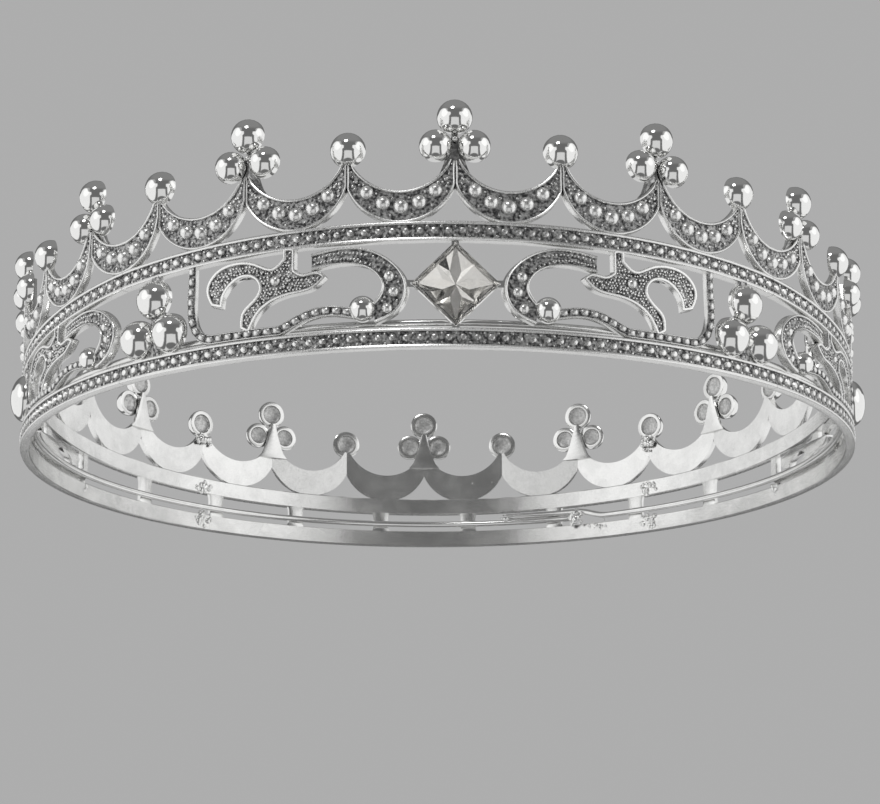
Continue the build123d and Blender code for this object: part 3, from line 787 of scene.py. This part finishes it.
def add_crescent(relief, index):
    """A crescent between two circles: rays from the inner circle's centre meet both, and the outer
    edge stops at the mitre with the neighbouring crescent. Five beads lie along it, with grains in
    two rows between them and in one row up each horn."""
    s = bpy.context.scene.crown_sizes
    angle = (index + 0.5) * PITCH
    slope = (crown_edge(angle + 0.03) - crown_edge(angle - 0.03)) / (0.06 * RING_RADIUS)
    lean = np.arctan(slope)
    turn = np.array([[np.cos(lean), -np.sin(lean)], [np.sin(lean), np.cos(lean)]])
    centre = turn @ np.array([0, CRESCENT_DEPTH - CRESCENT_SEAT + CRESCENT_INNER])
    offset = CRESCENT_INNER + CRESCENT_DEPTH - CRESCENT_OUTER
    limit = (CRESCENT_FRONT - MITRE_SETBACK) * np.tan(PITCH / 2) - MITRE_GAP
    edge = crown_edge(angle)

    def ray(phi):
        """The way from the inner circle's centre at an angle from straight down."""
        return np.stack([np.sin(phi), -np.cos(phi)], -1) @ turn.T

    def horn(side):
        """The last angle on one side, where the horn is high enough or nears the mitre."""
        reach = np.linspace(0.6, np.arccos((centre[1] - CRESCENT_REACH) / CRESCENT_INNER), 200)
        across = side * (centre[0] + CRESCENT_INNER * ray(side * reach)[:, 0])
        return side * reach[across < limit - 0.42 * MM][-1]

    def place(flat, depth):
        """Flat points on the touching plane, at a depth behind the crescent's front."""
        return flat_on(angle, flat[..., 0], edge + flat[..., 1], CRESCENT_FRONT - depth)

    phi = np.linspace(horn(-1), horn(1), 61)
    way = ray(phi)
    circle = offset * np.cos(phi) + np.sqrt(CRESCENT_OUTER ** 2 - (offset * np.sin(phi)) ** 2)
    mitre = (np.sign(phi) * limit - centre[0]) / np.where(np.abs(way[:, 0]) < 1e-6, 1e-6, way[:, 0])
    mitre = np.where(np.abs(phi) < 0.2, np.inf, mitre)
    reach = np.minimum(circle, mitre)
    ribbon(relief, centre + way * reach[:, None], centre + way * CRESCENT_INNER, s.crescent_rim,
           CRESCENT_SUNK, CRESCENT_THICKNESS, place, mitre < circle + 0.3 * MM)
    beads = np.array(CRESCENT_BEADS) * MM @ turn.T
    scatter(relief, BOSS, place(beads, CRESCENT_SUNK), angle, s.crescent_bead * BEAD_SHARES, 0.82)

    def between(steps, part):
        """Points at angles, a share of the width out from the inner circle."""
        wide = np.interp(steps, phi, reach - CRESCENT_INNER)
        return centre + ray(steps) * (CRESCENT_INNER + wide * part)[:, None]

    grains, sizes = [], []
    for degrees, parts in CRESCENT_GRAINS:
        for part in parts:
            grains.append(between(np.radians(degrees), part))
            sizes.append(np.full(len(degrees), 0.27 * MM))
    for side, end in ((-1, phi[0]), (1, phi[-1])):
        steps = np.linspace(HORN_START, abs(end) - 0.07, HORN_GRAINS) * side
        grains.append(between(steps, 0.5))
        sizes.append(np.linspace(0.3, 0.17, HORN_GRAINS) * MM)
    random = np.random.default_rng(CRESCENT_SEED + index)
    grains, sizes = np.concatenate(grains), np.concatenate(sizes)
    grains += random.normal(0, 0.05 * MM, grains.shape)
    scatter(relief, GRAIN, place(grains, CRESCENT_SUNK), angle,
            sizes * random.uniform(0.85, 1.2, len(sizes)), 1.15)


def tip_places(tip):
    """Across and height of each dome on a tip: three on every second tip, one on the others."""
    angle = tip * PITCH
    rise = float(crown_edge(angle)) + (TIP_RISE + FRONT_RISE * (1 + np.cos(angle)) / 2) * MM
    rise -= (SIDE_DROP * MM * np.sin(angle) ** 2 * (np.cos(angle) > 0)
             + LOW_DROP * MM * (tip in LOW_TIPS))
    if tip % 2:
        return [(0.0, rise)]
    return [(-TREFOIL_HALF, rise), (TREFOIL_HALF, rise), (0.0, rise + TREFOIL_RISE)]


def add_tip(relief, tip):
    """The domes of one tip and the web that carries three of them, with a grain where they meet."""
    s = bpy.context.scene.crown_sizes
    angle, places = tip * PITCH, tip_places(tip)
    for across, height in places:
        add_dome(relief, angle, across, height, s.low_dome if across else s.tip_dome)
    if len(places) == 3:
        low, top = float(crown_edge(angle)) + 7.4 * MM, places[2][1]
        add_bar(relief, angle, 0.0, low, top - 2.3 * MM, DOME_CENTRE - 0.75 * MM, width=6.7 * MM,
                thickness=0.9 * MM, satin=1.0, recess=0.6, taper=5.7 * MM)
        meeting = flat_on(angle, 0.0, top - 3.8 * MM, DOME_CENTRE + 0.1 * MM)
        scatter(relief, BOSS, meeting, angle, 0.5 * MM)


def motif_centre(repeat):
    """Length along the wall from the front to the middle of one repeat of the motif."""
    return repeat * MOTIF_SPACING + MOTIF_MIDDLE


def drawn(points, side, repeat):
    """The motif's drawing on one repeat of one side: lengths from the middle of the motif, turned
    round on the left, and heights brought down to the gallery's height there."""
    points = np.asarray(points, float) * MM
    place = repeat * MOTIF_SPACING + points[:, 0]
    share_here = gallery_share(place / RING_RADIUS)
    height = BAND_HEIGHT + (points[:, 1] - BAND_HEIGHT) * share_here
    return np.stack([side * (place - motif_centre(repeat)), height], -1)


class Motif:
    """Where one repeat of the gallery motif lies on one side, and how much smaller its beads are
    there: by the square root of the gallery's share of its height."""

    def __init__(self, relief, side, repeat, front=RING_RADIUS):
        self.relief, self.front = relief, front
        self.angle = side * motif_centre(repeat) / RING_RADIUS
        self.small = np.sqrt(gallery_share(abs(self.angle)))

    def place(self, flat, depth):
        """Flat points carried onto the wall, at a depth behind the motif's front."""
        return curved_on(self.angle, flat[..., 0], flat[..., 1], self.front - depth)

    def scatter(self, shape, spots, depth, radii, rise, **turning):
        """Copies of a shape at flat points, each facing straight out of the wall there."""
        angles = self.angle + np.arcsin(spots[..., 0] / RING_RADIUS)
        scatter(self.relief, shape, self.place(spots, depth), angles, radii, rise, **turning)


def add_scroll(relief, side, repeat):
    """A C-shaped strip with three beads, and two rows of grains, closer together in its upper
    arm."""
    s = bpy.context.scene.crown_sizes
    motif = Motif(relief, side, repeat)
    outer, inner = [resample(smooth_curve(drawn(edge, side, repeat), 200), SCROLL_STEPS)
                    for edge in (SCROLL_OUTER, SCROLL_INNER)]
    growth = (inner - outer) / np.linalg.norm(inner - outer, axis=1, keepdims=True)
    outer, inner = outer - SCROLL_GROWTH[0] * growth, inner + SCROLL_GROWTH[1] * growth
    ribbon(relief, outer, inner, s.ornament_rim, SCROLL_SUNK, ORNAMENT_THICKNESS, motif.place)
    beads = drawn(SCROLL_BEADS, side, repeat)
    motif.scatter(BOSS, beads, SCROLL_SUNK, 0.98 * MM * motif.small, 0.85)
    if repeat == 0:
        motif.scatter(BOSS, drawn(SCROLL_KNOB, side, repeat), 0.9 * MM, 0.55 * MM, 1.1, satin=0.4)
    random = np.random.default_rng(SCROLL_SEED + repeat)
    for first, last, count, parts in SCROLL_GRAINS:
        for part in parts:
            spots = points_at(outer + (inner - outer) * part, np.linspace(first, last, count))
            spots += random.normal(0, 0.04 * MM, spots.shape)
            near = np.linalg.norm(spots[:, None] - beads[None], axis=-1).min(1)
            spots = spots[near > 1.15 * MM * motif.small]
            sizes = 0.26 * MM * random.uniform(0.85, 1.15, len(spots))
            motif.scatter(GRAIN, spots, SCROLL_SUNK, sizes, 1.1)


def leaf_outline(side, repeat):
    """The leaf's closed outline: straight runs and smooth ones, joined end to end."""
    runs = []
    for number, run in enumerate(LEAF_RUNS):
        points = drawn(run, side, repeat)
        straight = number in LEAF_STRAIGHT
        curve = resample(points, 7) if straight else smooth_curve(points, 12 * len(points))
        runs.append(curve[:-1])
    return turned_left(resample(np.concatenate(runs + [runs[0][:1]]), LEAF_STEPS)[:-1])


def add_leaf(relief, side, repeat):
    """A forked leaf with a rim, one bead where it forks, and grains packed over its sunk floor:
    points of a triangular grid, each shifted a little, and kept where they are clear of the rim
    and of the bead."""
    rim = bpy.context.scene.crown_sizes.ornament_rim
    motif = Motif(relief, side, repeat)
    outline = inset(leaf_outline(side, repeat), -LEAF_GROWTH)
    plate(relief, outline, rim, LEAF_SUNK, ORNAMENT_THICKNESS, motif.place)
    bead = drawn(LEAF_BEAD, side, repeat)
    motif.scatter(BOSS, bead, LEAF_SUNK, 0.92 * MM * motif.small, 0.85)
    random = np.random.default_rng(LEAF_SEED + repeat)
    step = 0.62 * MM
    low, high = outline.min(0), outline.max(0)
    x, y = np.meshgrid(np.arange(low[0], high[0], step), np.arange(low[1], high[1], 0.87 * step))
    x = x + (np.arange(len(y)) % 2)[:, None] * step / 2
    spots = np.stack([x.ravel(), y.ravel()], -1) + random.normal(0, 0.1 * MM, (x.size, 2))
    spots = spots[inside(spots, inset(outline, rim + 0.16 * MM))]
    near = np.linalg.norm(spots[:, None] - outline[None], axis=-1).min(1)
    clear = np.linalg.norm(spots - bead, axis=-1) > 1.15 * MM * motif.small
    spots = spots[clear & (near > rim + 0.12 * MM)]
    motif.scatter(GRAIN, spots, LEAF_SUNK, 0.25 * MM * random.uniform(0.75, 1.25, len(spots)), 0.9)


def add_vine(relief, side, repeat):
    """A narrow strip of squared beads along a curve, from a scroll's dome onto the lower band and
    up as a post."""
    wide = bpy.context.scene.crown_sizes.vine_width
    motif = Motif(relief, side, repeat, RING_RADIUS - VINE_SUNK)
    path = resample(smooth_curve(drawn(VINE_PATH, side, repeat), 400), VINE_STEPS)
    path[:, 1] = np.maximum(path[:, 1], BAND_HEIGHT + wide / 2)
    run = np.gradient(path, axis=0)
    run /= np.linalg.norm(run, axis=1, keepdims=True)
    normal = np.stack([-run[:, 1], run[:, 0]], -1) * 0.44 * wide
    ribbon(relief, path + normal, path - normal, 0.24 * MM, VINE_SUNK, 1.2 * MM, motif.place,
           dark=0.2)
    count = int(np.linalg.norm(np.diff(path, axis=0), axis=1).sum() / VINE_BEAD_PITCH)
    step = (np.arange(count) + 0.5) / count * (len(path) - 1)
    along = points_at(run, step)
    motif.scatter(PILLOW, points_at(path, step), VINE_SUNK, 0.37 * wide, 0.8,
                  turns=np.arctan2(along[:, 1], along[:, 0]), stretch=1.2)


def add_scroll_dome(relief, side, repeat):
    """The dome at one scroll's foot, smaller where the gallery is lower."""
    place = repeat * MOTIF_SPACING + SCROLL_DOME_PLACE
    share_here = float(gallery_share(place / RING_RADIUS))
    height = BAND_HEIGHT + (SCROLL_DOME_HEIGHT - BAND_HEIGHT) * share_here
    radius = bpy.context.scene.crown_sizes.scroll_dome * np.sqrt(share_here)
    add_dome(relief, side * place / RING_RADIUS, 0.0, height, radius)


def add_gallery_domes(relief, side):
    """Three large domes with pegs to the bands and between them, and one larger dome half-way
    round."""
    s = bpy.context.scene.crown_sizes
    angle = side * GALLERY_PLACE * MM / RING_RADIUS
    for across, height in ((-GALLERY_HALF, GALLERY_RISE), (GALLERY_HALF, GALLERY_RISE),
                           (0.0, GALLERY_RISE + GALLERY_TALL)):
        add_dome(relief, angle, across, height, s.gallery_dome, 36)
    low, radius = BAND_HEIGHT - 0.2 * MM, DOME_CENTRE - 0.1 * MM
    add_bar(relief, angle, 0.0, low, float(gallery_top(angle)) + 0.3 * MM, radius, width=1.8 * MM,
            thickness=1.2 * MM, flare=0.5 * MM, recess=1.0)
    for across in (-GALLERY_HALF, GALLERY_HALF):
        add_bar(relief, angle, across, low, BAND_HEIGHT + 1.2 * MM, radius, width=2.0 * MM,
                thickness=1.2 * MM, flare=0.6 * MM)
    angle = side * SIDE_PLACE * MM / RING_RADIUS
    height = (BAND_HEIGHT + float(gallery_top(angle))) / 2
    add_dome(relief, angle, 0.0, height, s.side_dome, 40, SIDE_SQUEEZE)


def add_strut(relief, number):
    """A plain upright, wider where it meets the bands."""
    angle = np.pi + (number - (STRUTS - 1) / 2) * STRUT_SPACING
    add_bar(relief, angle, 0.0, BAND_HEIGHT - 0.15 * MM, float(gallery_top(angle)) + 0.15 * MM,
            RING_RADIUS - 1.2 * MM, width=3.2 * MM, thickness=1.2 * MM, flare=0.7 * MM, satin=1.0)


def square_ring(half_diagonal, out):
    """Sixteen points on the outline of a square, four to a side, from its right-hand corner: each
    is the mean of two neighbouring corners, weighted by how far along the side it lies."""
    shares = np.arange(STONE_POINTS) / 4
    corner, along = np.floor(shares), (shares % 1)[:, None]
    first, second = [np.stack([np.cos(turn * TURN / 4), np.sin(turn * TURN / 4)], -1)
                     for turn in (corner, corner + 1)]
    flat = ((1 - along) * first + along * second) * np.reshape(half_diagonal, (-1, 1))
    return np.column_stack([flat, np.full(STONE_POINTS, out)])


def pavilion():
    """The back of the stone: sixteen girdle points, two shoulders beside each corner's diagonal,
    and the point. Two flat triangles run from the point to each corner, and six more fill each
    quarter between them. Returns points and triangles."""
    girdle = square_ring(STONE_HALF, GIRDLE_BACK)
    level = GIRDLE_BACK - PAVILION_DEPTH * (1 - SHOULDER / STONE_HALF)
    four = np.arange(4)
    quarter = four * TURN / 4
    along = np.stack([np.cos(quarter), np.sin(quarter)], -1)
    across = np.stack([-np.sin(quarter), np.cos(quarter)], -1)
    shoulders = [np.column_stack([SHOULDER * along + way * SHOULDER_SPREAD * across,
                                  np.full(4, level)]) for way in (-1, 1)]
    corner, before, beyond = four * 4, STONE_POINTS + four, STONE_POINTS + 4 + four
    following, next_before = (corner + 4) % STONE_POINTS, np.roll(before, -1)
    point = np.full(4, STONE_POINTS + 8)
    triangles = np.concatenate([np.stack(corners, -1) for corners in (
        (point, before, corner), (point, corner, beyond),
        (point, beyond, corner + 2), (point, corner + 2, next_before),
        (beyond, corner, corner + 1), (beyond, corner + 1, corner + 2),
        (next_before, corner + 2, corner + 3), (next_before, corner + 3, following))])
    return np.vstack([girdle, *shoulders, [0, 0, GIRDLE_BACK - PAVILION_DEPTH]]), triangles


def placed_stone(points, swell=1.0, back=0.0):
    """Points of the stone in the crown, swollen about its middle and moved back."""
    return flat_on(0.0, swell * points[:, 0], STONE_HEIGHT + swell * points[:, 1],
                   STONE_GIRDLE + points[:, 2] - back)


def add_stone(relief):
    """The stone: in front a flat table and a slope of slender facets, whose upper edge steps in
    and out, down to the girdle, and the pavilion behind it."""
    index = np.arange(STONE_POINTS)
    after = (index + 1) % STONE_POINTS
    swing = np.where(index % 2, TABLE_HALVES[1], TABLE_HALVES[0]) * MM
    back, facets = pavilion()
    table, girdle = square_ring(swing, TABLE_RISE), square_ring(STONE_HALF, GIRDLE_FRONT)
    points = np.vstack([table, girdle, back])
    front, rear = STONE_POINTS, 2 * STONE_POINTS
    slope = np.concatenate([np.stack([index, front + index, after], -1),
                            np.stack([after, front + index, front + after], -1)])
    wall = np.stack([front + index, rear + index, rear + after, front + after], -1)
    relief.add(placed_stone(points), [index[None], slope, wall, facets + rear])


def add_foil(relief):
    """The mirror behind the stone: the pavilion's triangles a hair outside it, the same again
    further back and a little larger, and a wall round the two."""
    points, triangles = pavilion()
    layers = [placed_stone(points, 1.004, 0.06 * MM), placed_stone(points, 1.03, 0.4 * MM)]
    index, count = np.arange(STONE_POINTS), len(points)
    after = (index + 1) % STONE_POINTS
    wall = np.stack([index, after, count + after, count + index], -1)
    relief.add(np.concatenate(layers), [triangles, triangles[:, ::-1] + count, wall[:, ::-1]], 0.0,
               np.repeat([0.0, 1.0], count))


def add_wire(relief):
    """A round wire: circles carried along a ring at one height, whose end climbs with a smooth step
    and lies on top of its own beginning."""
    s = bpy.context.scene.crown_sizes
    radius = RING_RADIUS - s.band_thickness - s.wire_radius - WIRE_GAP
    angles = np.concatenate([np.linspace(WIRE_START, WIRE_CLIMB, 300),
                             np.linspace(WIRE_CLIMB, WIRE_LANDING, 14)[1:],
                             np.linspace(WIRE_LANDING, WIRE_END, 14)[1:]])
    share_up = np.clip((angles - WIRE_CLIMB) / (WIRE_LANDING - WIRE_CLIMB), 0, 1)
    height = WIRE_HEIGHT + WIRE_LAP_RISE * share_up ** 2 * (3 - 2 * share_up)
    turn = np.arange(WIRE_SEGMENTS) * TURN / WIRE_SEGMENTS
    taper = np.ones((len(angles), 1))
    taper[[0, -1]] = WIRE_END_SHARE
    points = around(angles[:, None], radius + s.wire_radius * taper * np.cos(turn),
                    height[:, None] + s.wire_radius * taper * np.sin(turn))
    relief.add(points, tube_faces(len(angles), WIRE_SEGMENTS), 0.0, 0.55)


def add_solder(relief, angle, radius, height, wide, tall, lumps, seed):
    """A rough patch of solder facing inward at a radius: low lumps of seeded place, size and turn,
    the larger ones towards the middle of an ellipse."""
    random = np.random.default_rng(seed)
    turn, reach = random.uniform(0, TURN, lumps), np.sqrt(random.uniform(0, 1, lumps))
    across, up = wide * reach * np.cos(turn), tall * reach * np.sin(turn)
    sizes = 0.36 * min(wide, tall) * (1.5 - 0.8 * reach) * random.uniform(0.8, 1.25, lumps)
    spots = around(angle + across / radius, radius + 0.10 * MM, height + up)
    for spot, size in zip(spots, sizes):
        scatter(relief, BOSS, spot, angle + np.pi, size, random.uniform(0.5, 0.9), 0.55,
                random.uniform(0, TURN), random.uniform(0.8, 1.5))


# ================================================================ operators

class CROWN_OT_bands(bpy.types.Operator):
    """Build the lower and upper beaded bands, one piece for each of the four panels."""
    bl_idname = "crown.bands"
    bl_label = "Beaded Bands"

    def execute(self, context):
        for number, panel in enumerate(PANELS):
            for level, underside in (("lower", np.zeros_like), ("upper", gallery_top)):
                relief = Relief()
                add_band(relief, panel, underside, BAND_SEED + 10 * number)
                relief.build(f"beaded_band_{level}_{panel}", "antique_silver",
                             f"{level}_band_{panel}")
        return {"FINISHED"}


class CROWN_OT_crescents(bpy.types.Operator):
    """Build the twenty-eight crescents with their beads and grains."""
    bl_idname = "crown.crescents"
    bl_label = "Crescents"

    def execute(self, context):
        for index in range(CRESCENTS):
            relief = Relief()
            add_crescent(relief, index)
            relief.build(f"beaded_crescent_{index + 1:02d}", "antique_silver",
                         f"crescent_{index + 1:02d}")
        return {"FINISHED"}


class CROWN_OT_tip_domes(bpy.types.Operator):
    """Build the polished domes on the crescents' tips."""
    bl_idname = "crown.tip_domes"
    bl_label = "Tip Domes"

    def execute(self, context):
        for panel, first in zip(PANELS, FIRST_TIPS):
            relief = Relief()
            for tip in range(first, first + PANEL_TIPS):
                add_tip(relief, tip)
            relief.build(f"polished_tips_{panel}", "polished_silver", f"tip_domes_{panel}")
        return {"FINISHED"}


def build_repeats(add, piece, stands_for):
    """One piece for each repeat of the motif on both sides."""
    for side, word in SIDES:
        for repeat in range(MOTIFS):
            relief = Relief()
            add(relief, side, repeat)
            relief.build(f"{piece}_{word}_{repeat + 1}", "antique_silver",
                         f"{stands_for}_{word}_{repeat + 1}")


class CROWN_OT_scrolls(bpy.types.Operator):
    """Build the C-scrolls of the gallery."""
    bl_idname = "crown.scrolls"
    bl_label = "Scrolls"

    def execute(self, context):
        build_repeats(add_scroll, "grained_scroll", "c_scroll")
        return {"FINISHED"}


class CROWN_OT_leaves(bpy.types.Operator):
    """Build the forked leaves of the gallery."""
    bl_idname = "crown.leaves"
    bl_label = "Leaves"

    def execute(self, context):
        build_repeats(add_leaf, "grained_leaf", "leaf")
        return {"FINISHED"}


class CROWN_OT_vines(bpy.types.Operator):
    """Build the beaded vines that end as posts."""
    bl_idname = "crown.vines"
    bl_label = "Beaded Vines"

    def execute(self, context):
        for side, word in SIDES:
            relief = Relief()
            for repeat in range(MOTIFS):
                add_vine(relief, side, repeat)
            relief.build(f"beaded_vine_{word}", "antique_silver", f"bead_vines_{word}")
        return {"FINISHED"}


class CROWN_OT_gallery_domes(bpy.types.Operator):
    """Build the domes of the gallery: at each scroll's foot, in threes, and one at each side."""
    bl_idname = "crown.gallery_domes"
    bl_label = "Gallery Domes"

    def execute(self, context):
        feet, large = Relief(), Relief()
        for side, _ in SIDES:
            for repeat in range(MOTIFS):
                add_scroll_dome(feet, side, repeat)
            add_gallery_domes(large, side)
        feet.build("polished_scroll_domes", "polished_silver", "scroll_domes")
        large.build("polished_gallery_domes", "polished_silver", "gallery_domes")
        return {"FINISHED"}


class CROWN_OT_struts(bpy.types.Operator):
    """Build the plain uprights at the rear, wider where they meet the bands."""
    bl_idname = "crown.struts"
    bl_label = "Rear Struts"

    def execute(self, context):
        relief = Relief()
        for number in range(STRUTS):
            add_strut(relief, number)
        relief.build("flared_struts", "satin_silver", "rear_struts")
        return {"FINISHED"}


class CROWN_OT_stone(bpy.types.Operator):
    """Build the faceted square stone."""
    bl_idname = "crown.stone"
    bl_label = "Stone"

    def execute(self, context):
        relief = Relief()
        add_stone(relief)
        relief.build("faceted_stone", "crystal_glass", "crystal", crease=1.0)
        return {"FINISHED"}


class CROWN_OT_setting(bpy.types.Operator):
    """Give the stone's collar its finish, and add the mirror foil behind the stone, whose recess
    value is one tone for each facet: a few facets are darkened as painted dark reflections in the
    stone."""
    bl_idname = "crown.setting"
    bl_label = "Stone Setting"

    def execute(self, context):
        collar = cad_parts["crystal_setting"]
        collar.data.materials.clear()
        collar.data.materials.append(finish_named("satin_silver"))
        relief = Relief()
        add_foil(relief)
        foil = relief.build("mirror_foil", "polished_silver", crease=1.0).data
        # painted dark reflections: a fixed dark tone on some foil facets, carried as the recess value
        painted_reflection_tones = np.zeros(len(foil.polygons), np.float32)
        painted_reflection_tones[list(PAINTED_REFLECTION_FACETS)] = list(PAINTED_REFLECTION_FACETS.values())
        foil.attributes.remove(foil.attributes["recess"])
        foil.attributes.new("recess", "FLOAT", "FACE").data.foreach_set("value", painted_reflection_tones)
        return {"FINISHED"}


class CROWN_OT_wire(bpy.types.Operator):
    """Build the round wire inside the gallery."""
    bl_idname = "crown.wire"
    bl_label = "Inner Wire"

    def execute(self, context):
        relief = Relief()
        add_wire(relief)
        relief.build("lapped_wire", "satin_silver", "inner_wire")
        return {"FINISHED"}


class CROWN_OT_solder(bpy.types.Operator):
    """Add the lumps of solder on the inner wall and on the wire."""
    bl_idname = "crown.solder"
    bl_label = "Solder"

    def execute(self, context):
        relief = Relief()
        wall = RING_RADIUS - context.scene.crown_sizes.band_thickness
        for patches, radius, seed in ((WALL_SOLDER, wall, WALL_SOLDER_SEED),
                                      (WIRE_SOLDER, WIRE_SOLDER_RADIUS, WIRE_SOLDER_SEED)):
            for number, (angle, height, wide, tall, lumps) in enumerate(patches):
                add_solder(relief, np.radians(angle), radius, height * MM, wide * MM, tall * MM,
                           lumps, seed + number)
        relief.build("solder_lumps", "satin_silver")
        return {"FINISHED"}


class CROWN_OT_stage(bpy.types.Operator):
    """Lay the pale floor, light the studio softly and set the camera below the rim, looking up."""
    bl_idname = "crown.stage"
    bl_label = "Studio Stage"

    def execute(self, context):
        for build in (build_floor, build_sky, build_lights, build_camera):
            build(context.scene)
        return {"FINISHED"}


# ================================================================ stage

def build_floor(scene):
    """A wide pale disc under the crown: the upper half of a lathed shape that is open below. It
    shows from above only: the camera stands below the rim, so the disc's underside lets it see
    through, as a glass table would."""
    points, faces, _ = lathe([(0, 0), (0.5, 0), (FLOOR_RADIUS, 0), (0, 0)], 48)
    points, faces = points[:-1], faces[:2]
    mesh = bpy.data.meshes.new("studio_floor")
    mesh.from_pydata(points.tolist(), [], [face for patch in faces for face in patch.tolist()])
    mesh.update()
    if mesh.polygons[0].normal.z < 0:
        mesh.flip_normals()
    floor = bpy.data.objects.new("studio_floor", mesh)
    scene.collection.objects.link(floor)
    floor.visible_diffuse = floor.visible_glossy = False
    floor.visible_transmission = floor.visible_shadow = False
    material, tree, shader, place = new_material("pale_floor")
    tone = scene.crown_finish.floor
    feed(tree, shader.inputs["Base Color"], mix(
        tree, "paper tone", noise(tree, "paper", place, 9.0, 3.0), tone,
        tuple(0.97 * value for value in tone)))
    shader.inputs["Roughness"].default_value = 0.7
    choose = node(tree, "MixShader", inputs={
        0: node(tree, "NewGeometry").outputs["Backfacing"], 1: shader.outputs[0],
        2: node(tree, "BsdfTransparent").outputs[0]})
    feed(tree, tree.nodes["Material Output"].inputs["Surface"], choose.outputs[0])
    mesh.materials.append(material)


def build_sky(scene):
    """The studio's surroundings. For reflections, two broad bright walls stand to the left and the
    right, wherever the direction points far enough sideways, and fade into a grey ceiling. Between
    them lies a dark gap, wider high up and low down, with a bright table top in its lower part. The
    camera sees an even pale backdrop instead."""
    world = scene.world = bpy.data.worlds.new("studio")
    world.use_nodes = True
    tree = world.node_tree
    tree.nodes.clear()
    way = node(tree, "TexCoord", "direction").outputs["Generated"]
    x, _, z = node(tree, "SeparateXYZ", "parts", {0: way}).outputs
    spread = reckon(tree, "spread", "ABSOLUTE", x)
    wider = reckon(tree, "wider gap", "ADD", ramp(tree, "above", z, 0.29, 0.40, 0.0, 0.27),
                   ramp(tree, "below", z, -0.12, 0.08, 0.16, 0.0))
    walls = ramp(tree, "walls", reckon(tree, "gap", "SUBTRACT", spread, wider), 0.42, 0.49)
    walls = reckon(tree, "walls under ceiling", "MULTIPLY", walls,
                   ramp(tree, "wall top", z, 0.72, 0.88, 1.0, 0.20))
    table = reckon(tree, "table edges", "MULTIPLY",
                   ramp(tree, "table sides", spread, 0.40, 0.44, 0.72, 0.0),
                   ramp(tree, "table top", z, -0.33, -0.25, 1.0, 0.0))
    table = reckon(tree, "table", "MULTIPLY", table, ramp(tree, "stand", z, -0.93, -0.88))
    bright = reckon(tree, "brighter", "MAXIMUM", walls, table)
    bright = reckon(tree, "brightest", "MAXIMUM", bright,
                    ramp(tree, "ceiling", z, 0.55, 0.85, 0.0, 0.12))
    studio = node(tree, "Background", inputs={
        "Strength": ramp(tree, "strength", bright, 0.0, 1.0, 0.19, 1.14, "LINEAR")})
    backdrop = node(tree, "Background", inputs={"Color": (0.42, 0.42, 0.42)})
    choose = node(tree, "MixShader", inputs={
        0: node(tree, "LightPath").outputs["Is Camera Ray"], 1: studio.outputs[0],
        2: backdrop.outputs[0]})
    node(tree, "OutputWorld", inputs={"Surface": choose.outputs[0]})


def add_to_stage(scene, data, place, target):
    """A light or camera at a place, its view axis turned to a target."""
    item = bpy.data.objects.new(data.name, data)
    scene.collection.objects.link(item)
    item.location = place
    item.rotation_euler = (Vector(target) - Vector(place)).to_track_quat("-Z", "Y").to_euler()
    return item


def build_lights(scene):
    """Two large soft lights at the sides, and a smaller one high at the front for the spark on each
    dome."""
    for name, place, size, power in LAMPS:
        data = bpy.data.lights.new(name, "AREA")
        data.shape = "DISK"
        data.size = size
        data.energy = power
        add_to_stage(scene, data, place, LAMP_TARGET)


def build_camera(scene):
    """The camera below the rim at the front, a hair to the left, looking up at the ring's centre
    and rolled a quarter of a degree."""
    flat = -np.cos(CAMERA_BELOW)
    place = CAMERA_DISTANCE * np.array([flat * np.sin(CAMERA_TURN), flat * np.cos(CAMERA_TURN),
                                        -np.sin(CAMERA_BELOW)])
    data = bpy.data.cameras.new("view")
    data.sensor_width = 36.0
    data.lens = CAMERA_LENS
    data.shift_x, data.shift_y = CAMERA_SHIFT
    data.clip_start = 0.01
    camera = add_to_stage(scene, data, place, (0, 0, 0))
    turned = camera.rotation_euler.to_quaternion() @ Quaternion((0, 0, 1), CAMERA_ROLL)
    camera.rotation_euler = turned.to_euler()
    scene.camera = camera
    scene.view_settings.view_transform = "Standard"


# ================================================================ panel and registration

BUILDERS = (CROWN_OT_bands, CROWN_OT_crescents, CROWN_OT_tip_domes, CROWN_OT_scrolls,
            CROWN_OT_leaves, CROWN_OT_vines, CROWN_OT_gallery_domes, CROWN_OT_struts,
            CROWN_OT_stone, CROWN_OT_setting, CROWN_OT_wire, CROWN_OT_solder, CROWN_OT_stage)


class CROWN_PT_panel(bpy.types.Panel):
    """Lists the crown's sizes, finishes and builders."""
    bl_idname = "CROWN_PT_panel"
    bl_label = "Beaded Crown"
    bl_space_type = "VIEW_3D"
    bl_region_type = "UI"
    bl_category = "Crown"

    def draw(self, context):
        for group in (context.scene.crown_sizes, context.scene.crown_finish):
            for word in type(group).__annotations__:
                self.layout.prop(group, word)
        for builder in BUILDERS:
            self.layout.operator(builder.bl_idname)


CLASSES = (CrownSizes, CrownFinish) + BUILDERS + (CROWN_PT_panel,)


def register():
    for item in CLASSES:
        bpy.utils.register_class(item)
    bpy.types.Scene.crown_sizes = bpy.props.PointerProperty(type=CrownSizes)
    bpy.types.Scene.crown_finish = bpy.props.PointerProperty(type=CrownFinish)


def unregister():
    del bpy.types.Scene.crown_finish
    del bpy.types.Scene.crown_sizes
    for item in reversed(CLASSES):
        bpy.utils.unregister_class(item)


def main():
    """Registers the crown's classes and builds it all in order."""
    register()
    for builder in BUILDERS:
        group, call = builder.bl_idname.split(".")
        getattr(getattr(bpy.ops, group), call)()


if __name__ == "__main__":
    main()
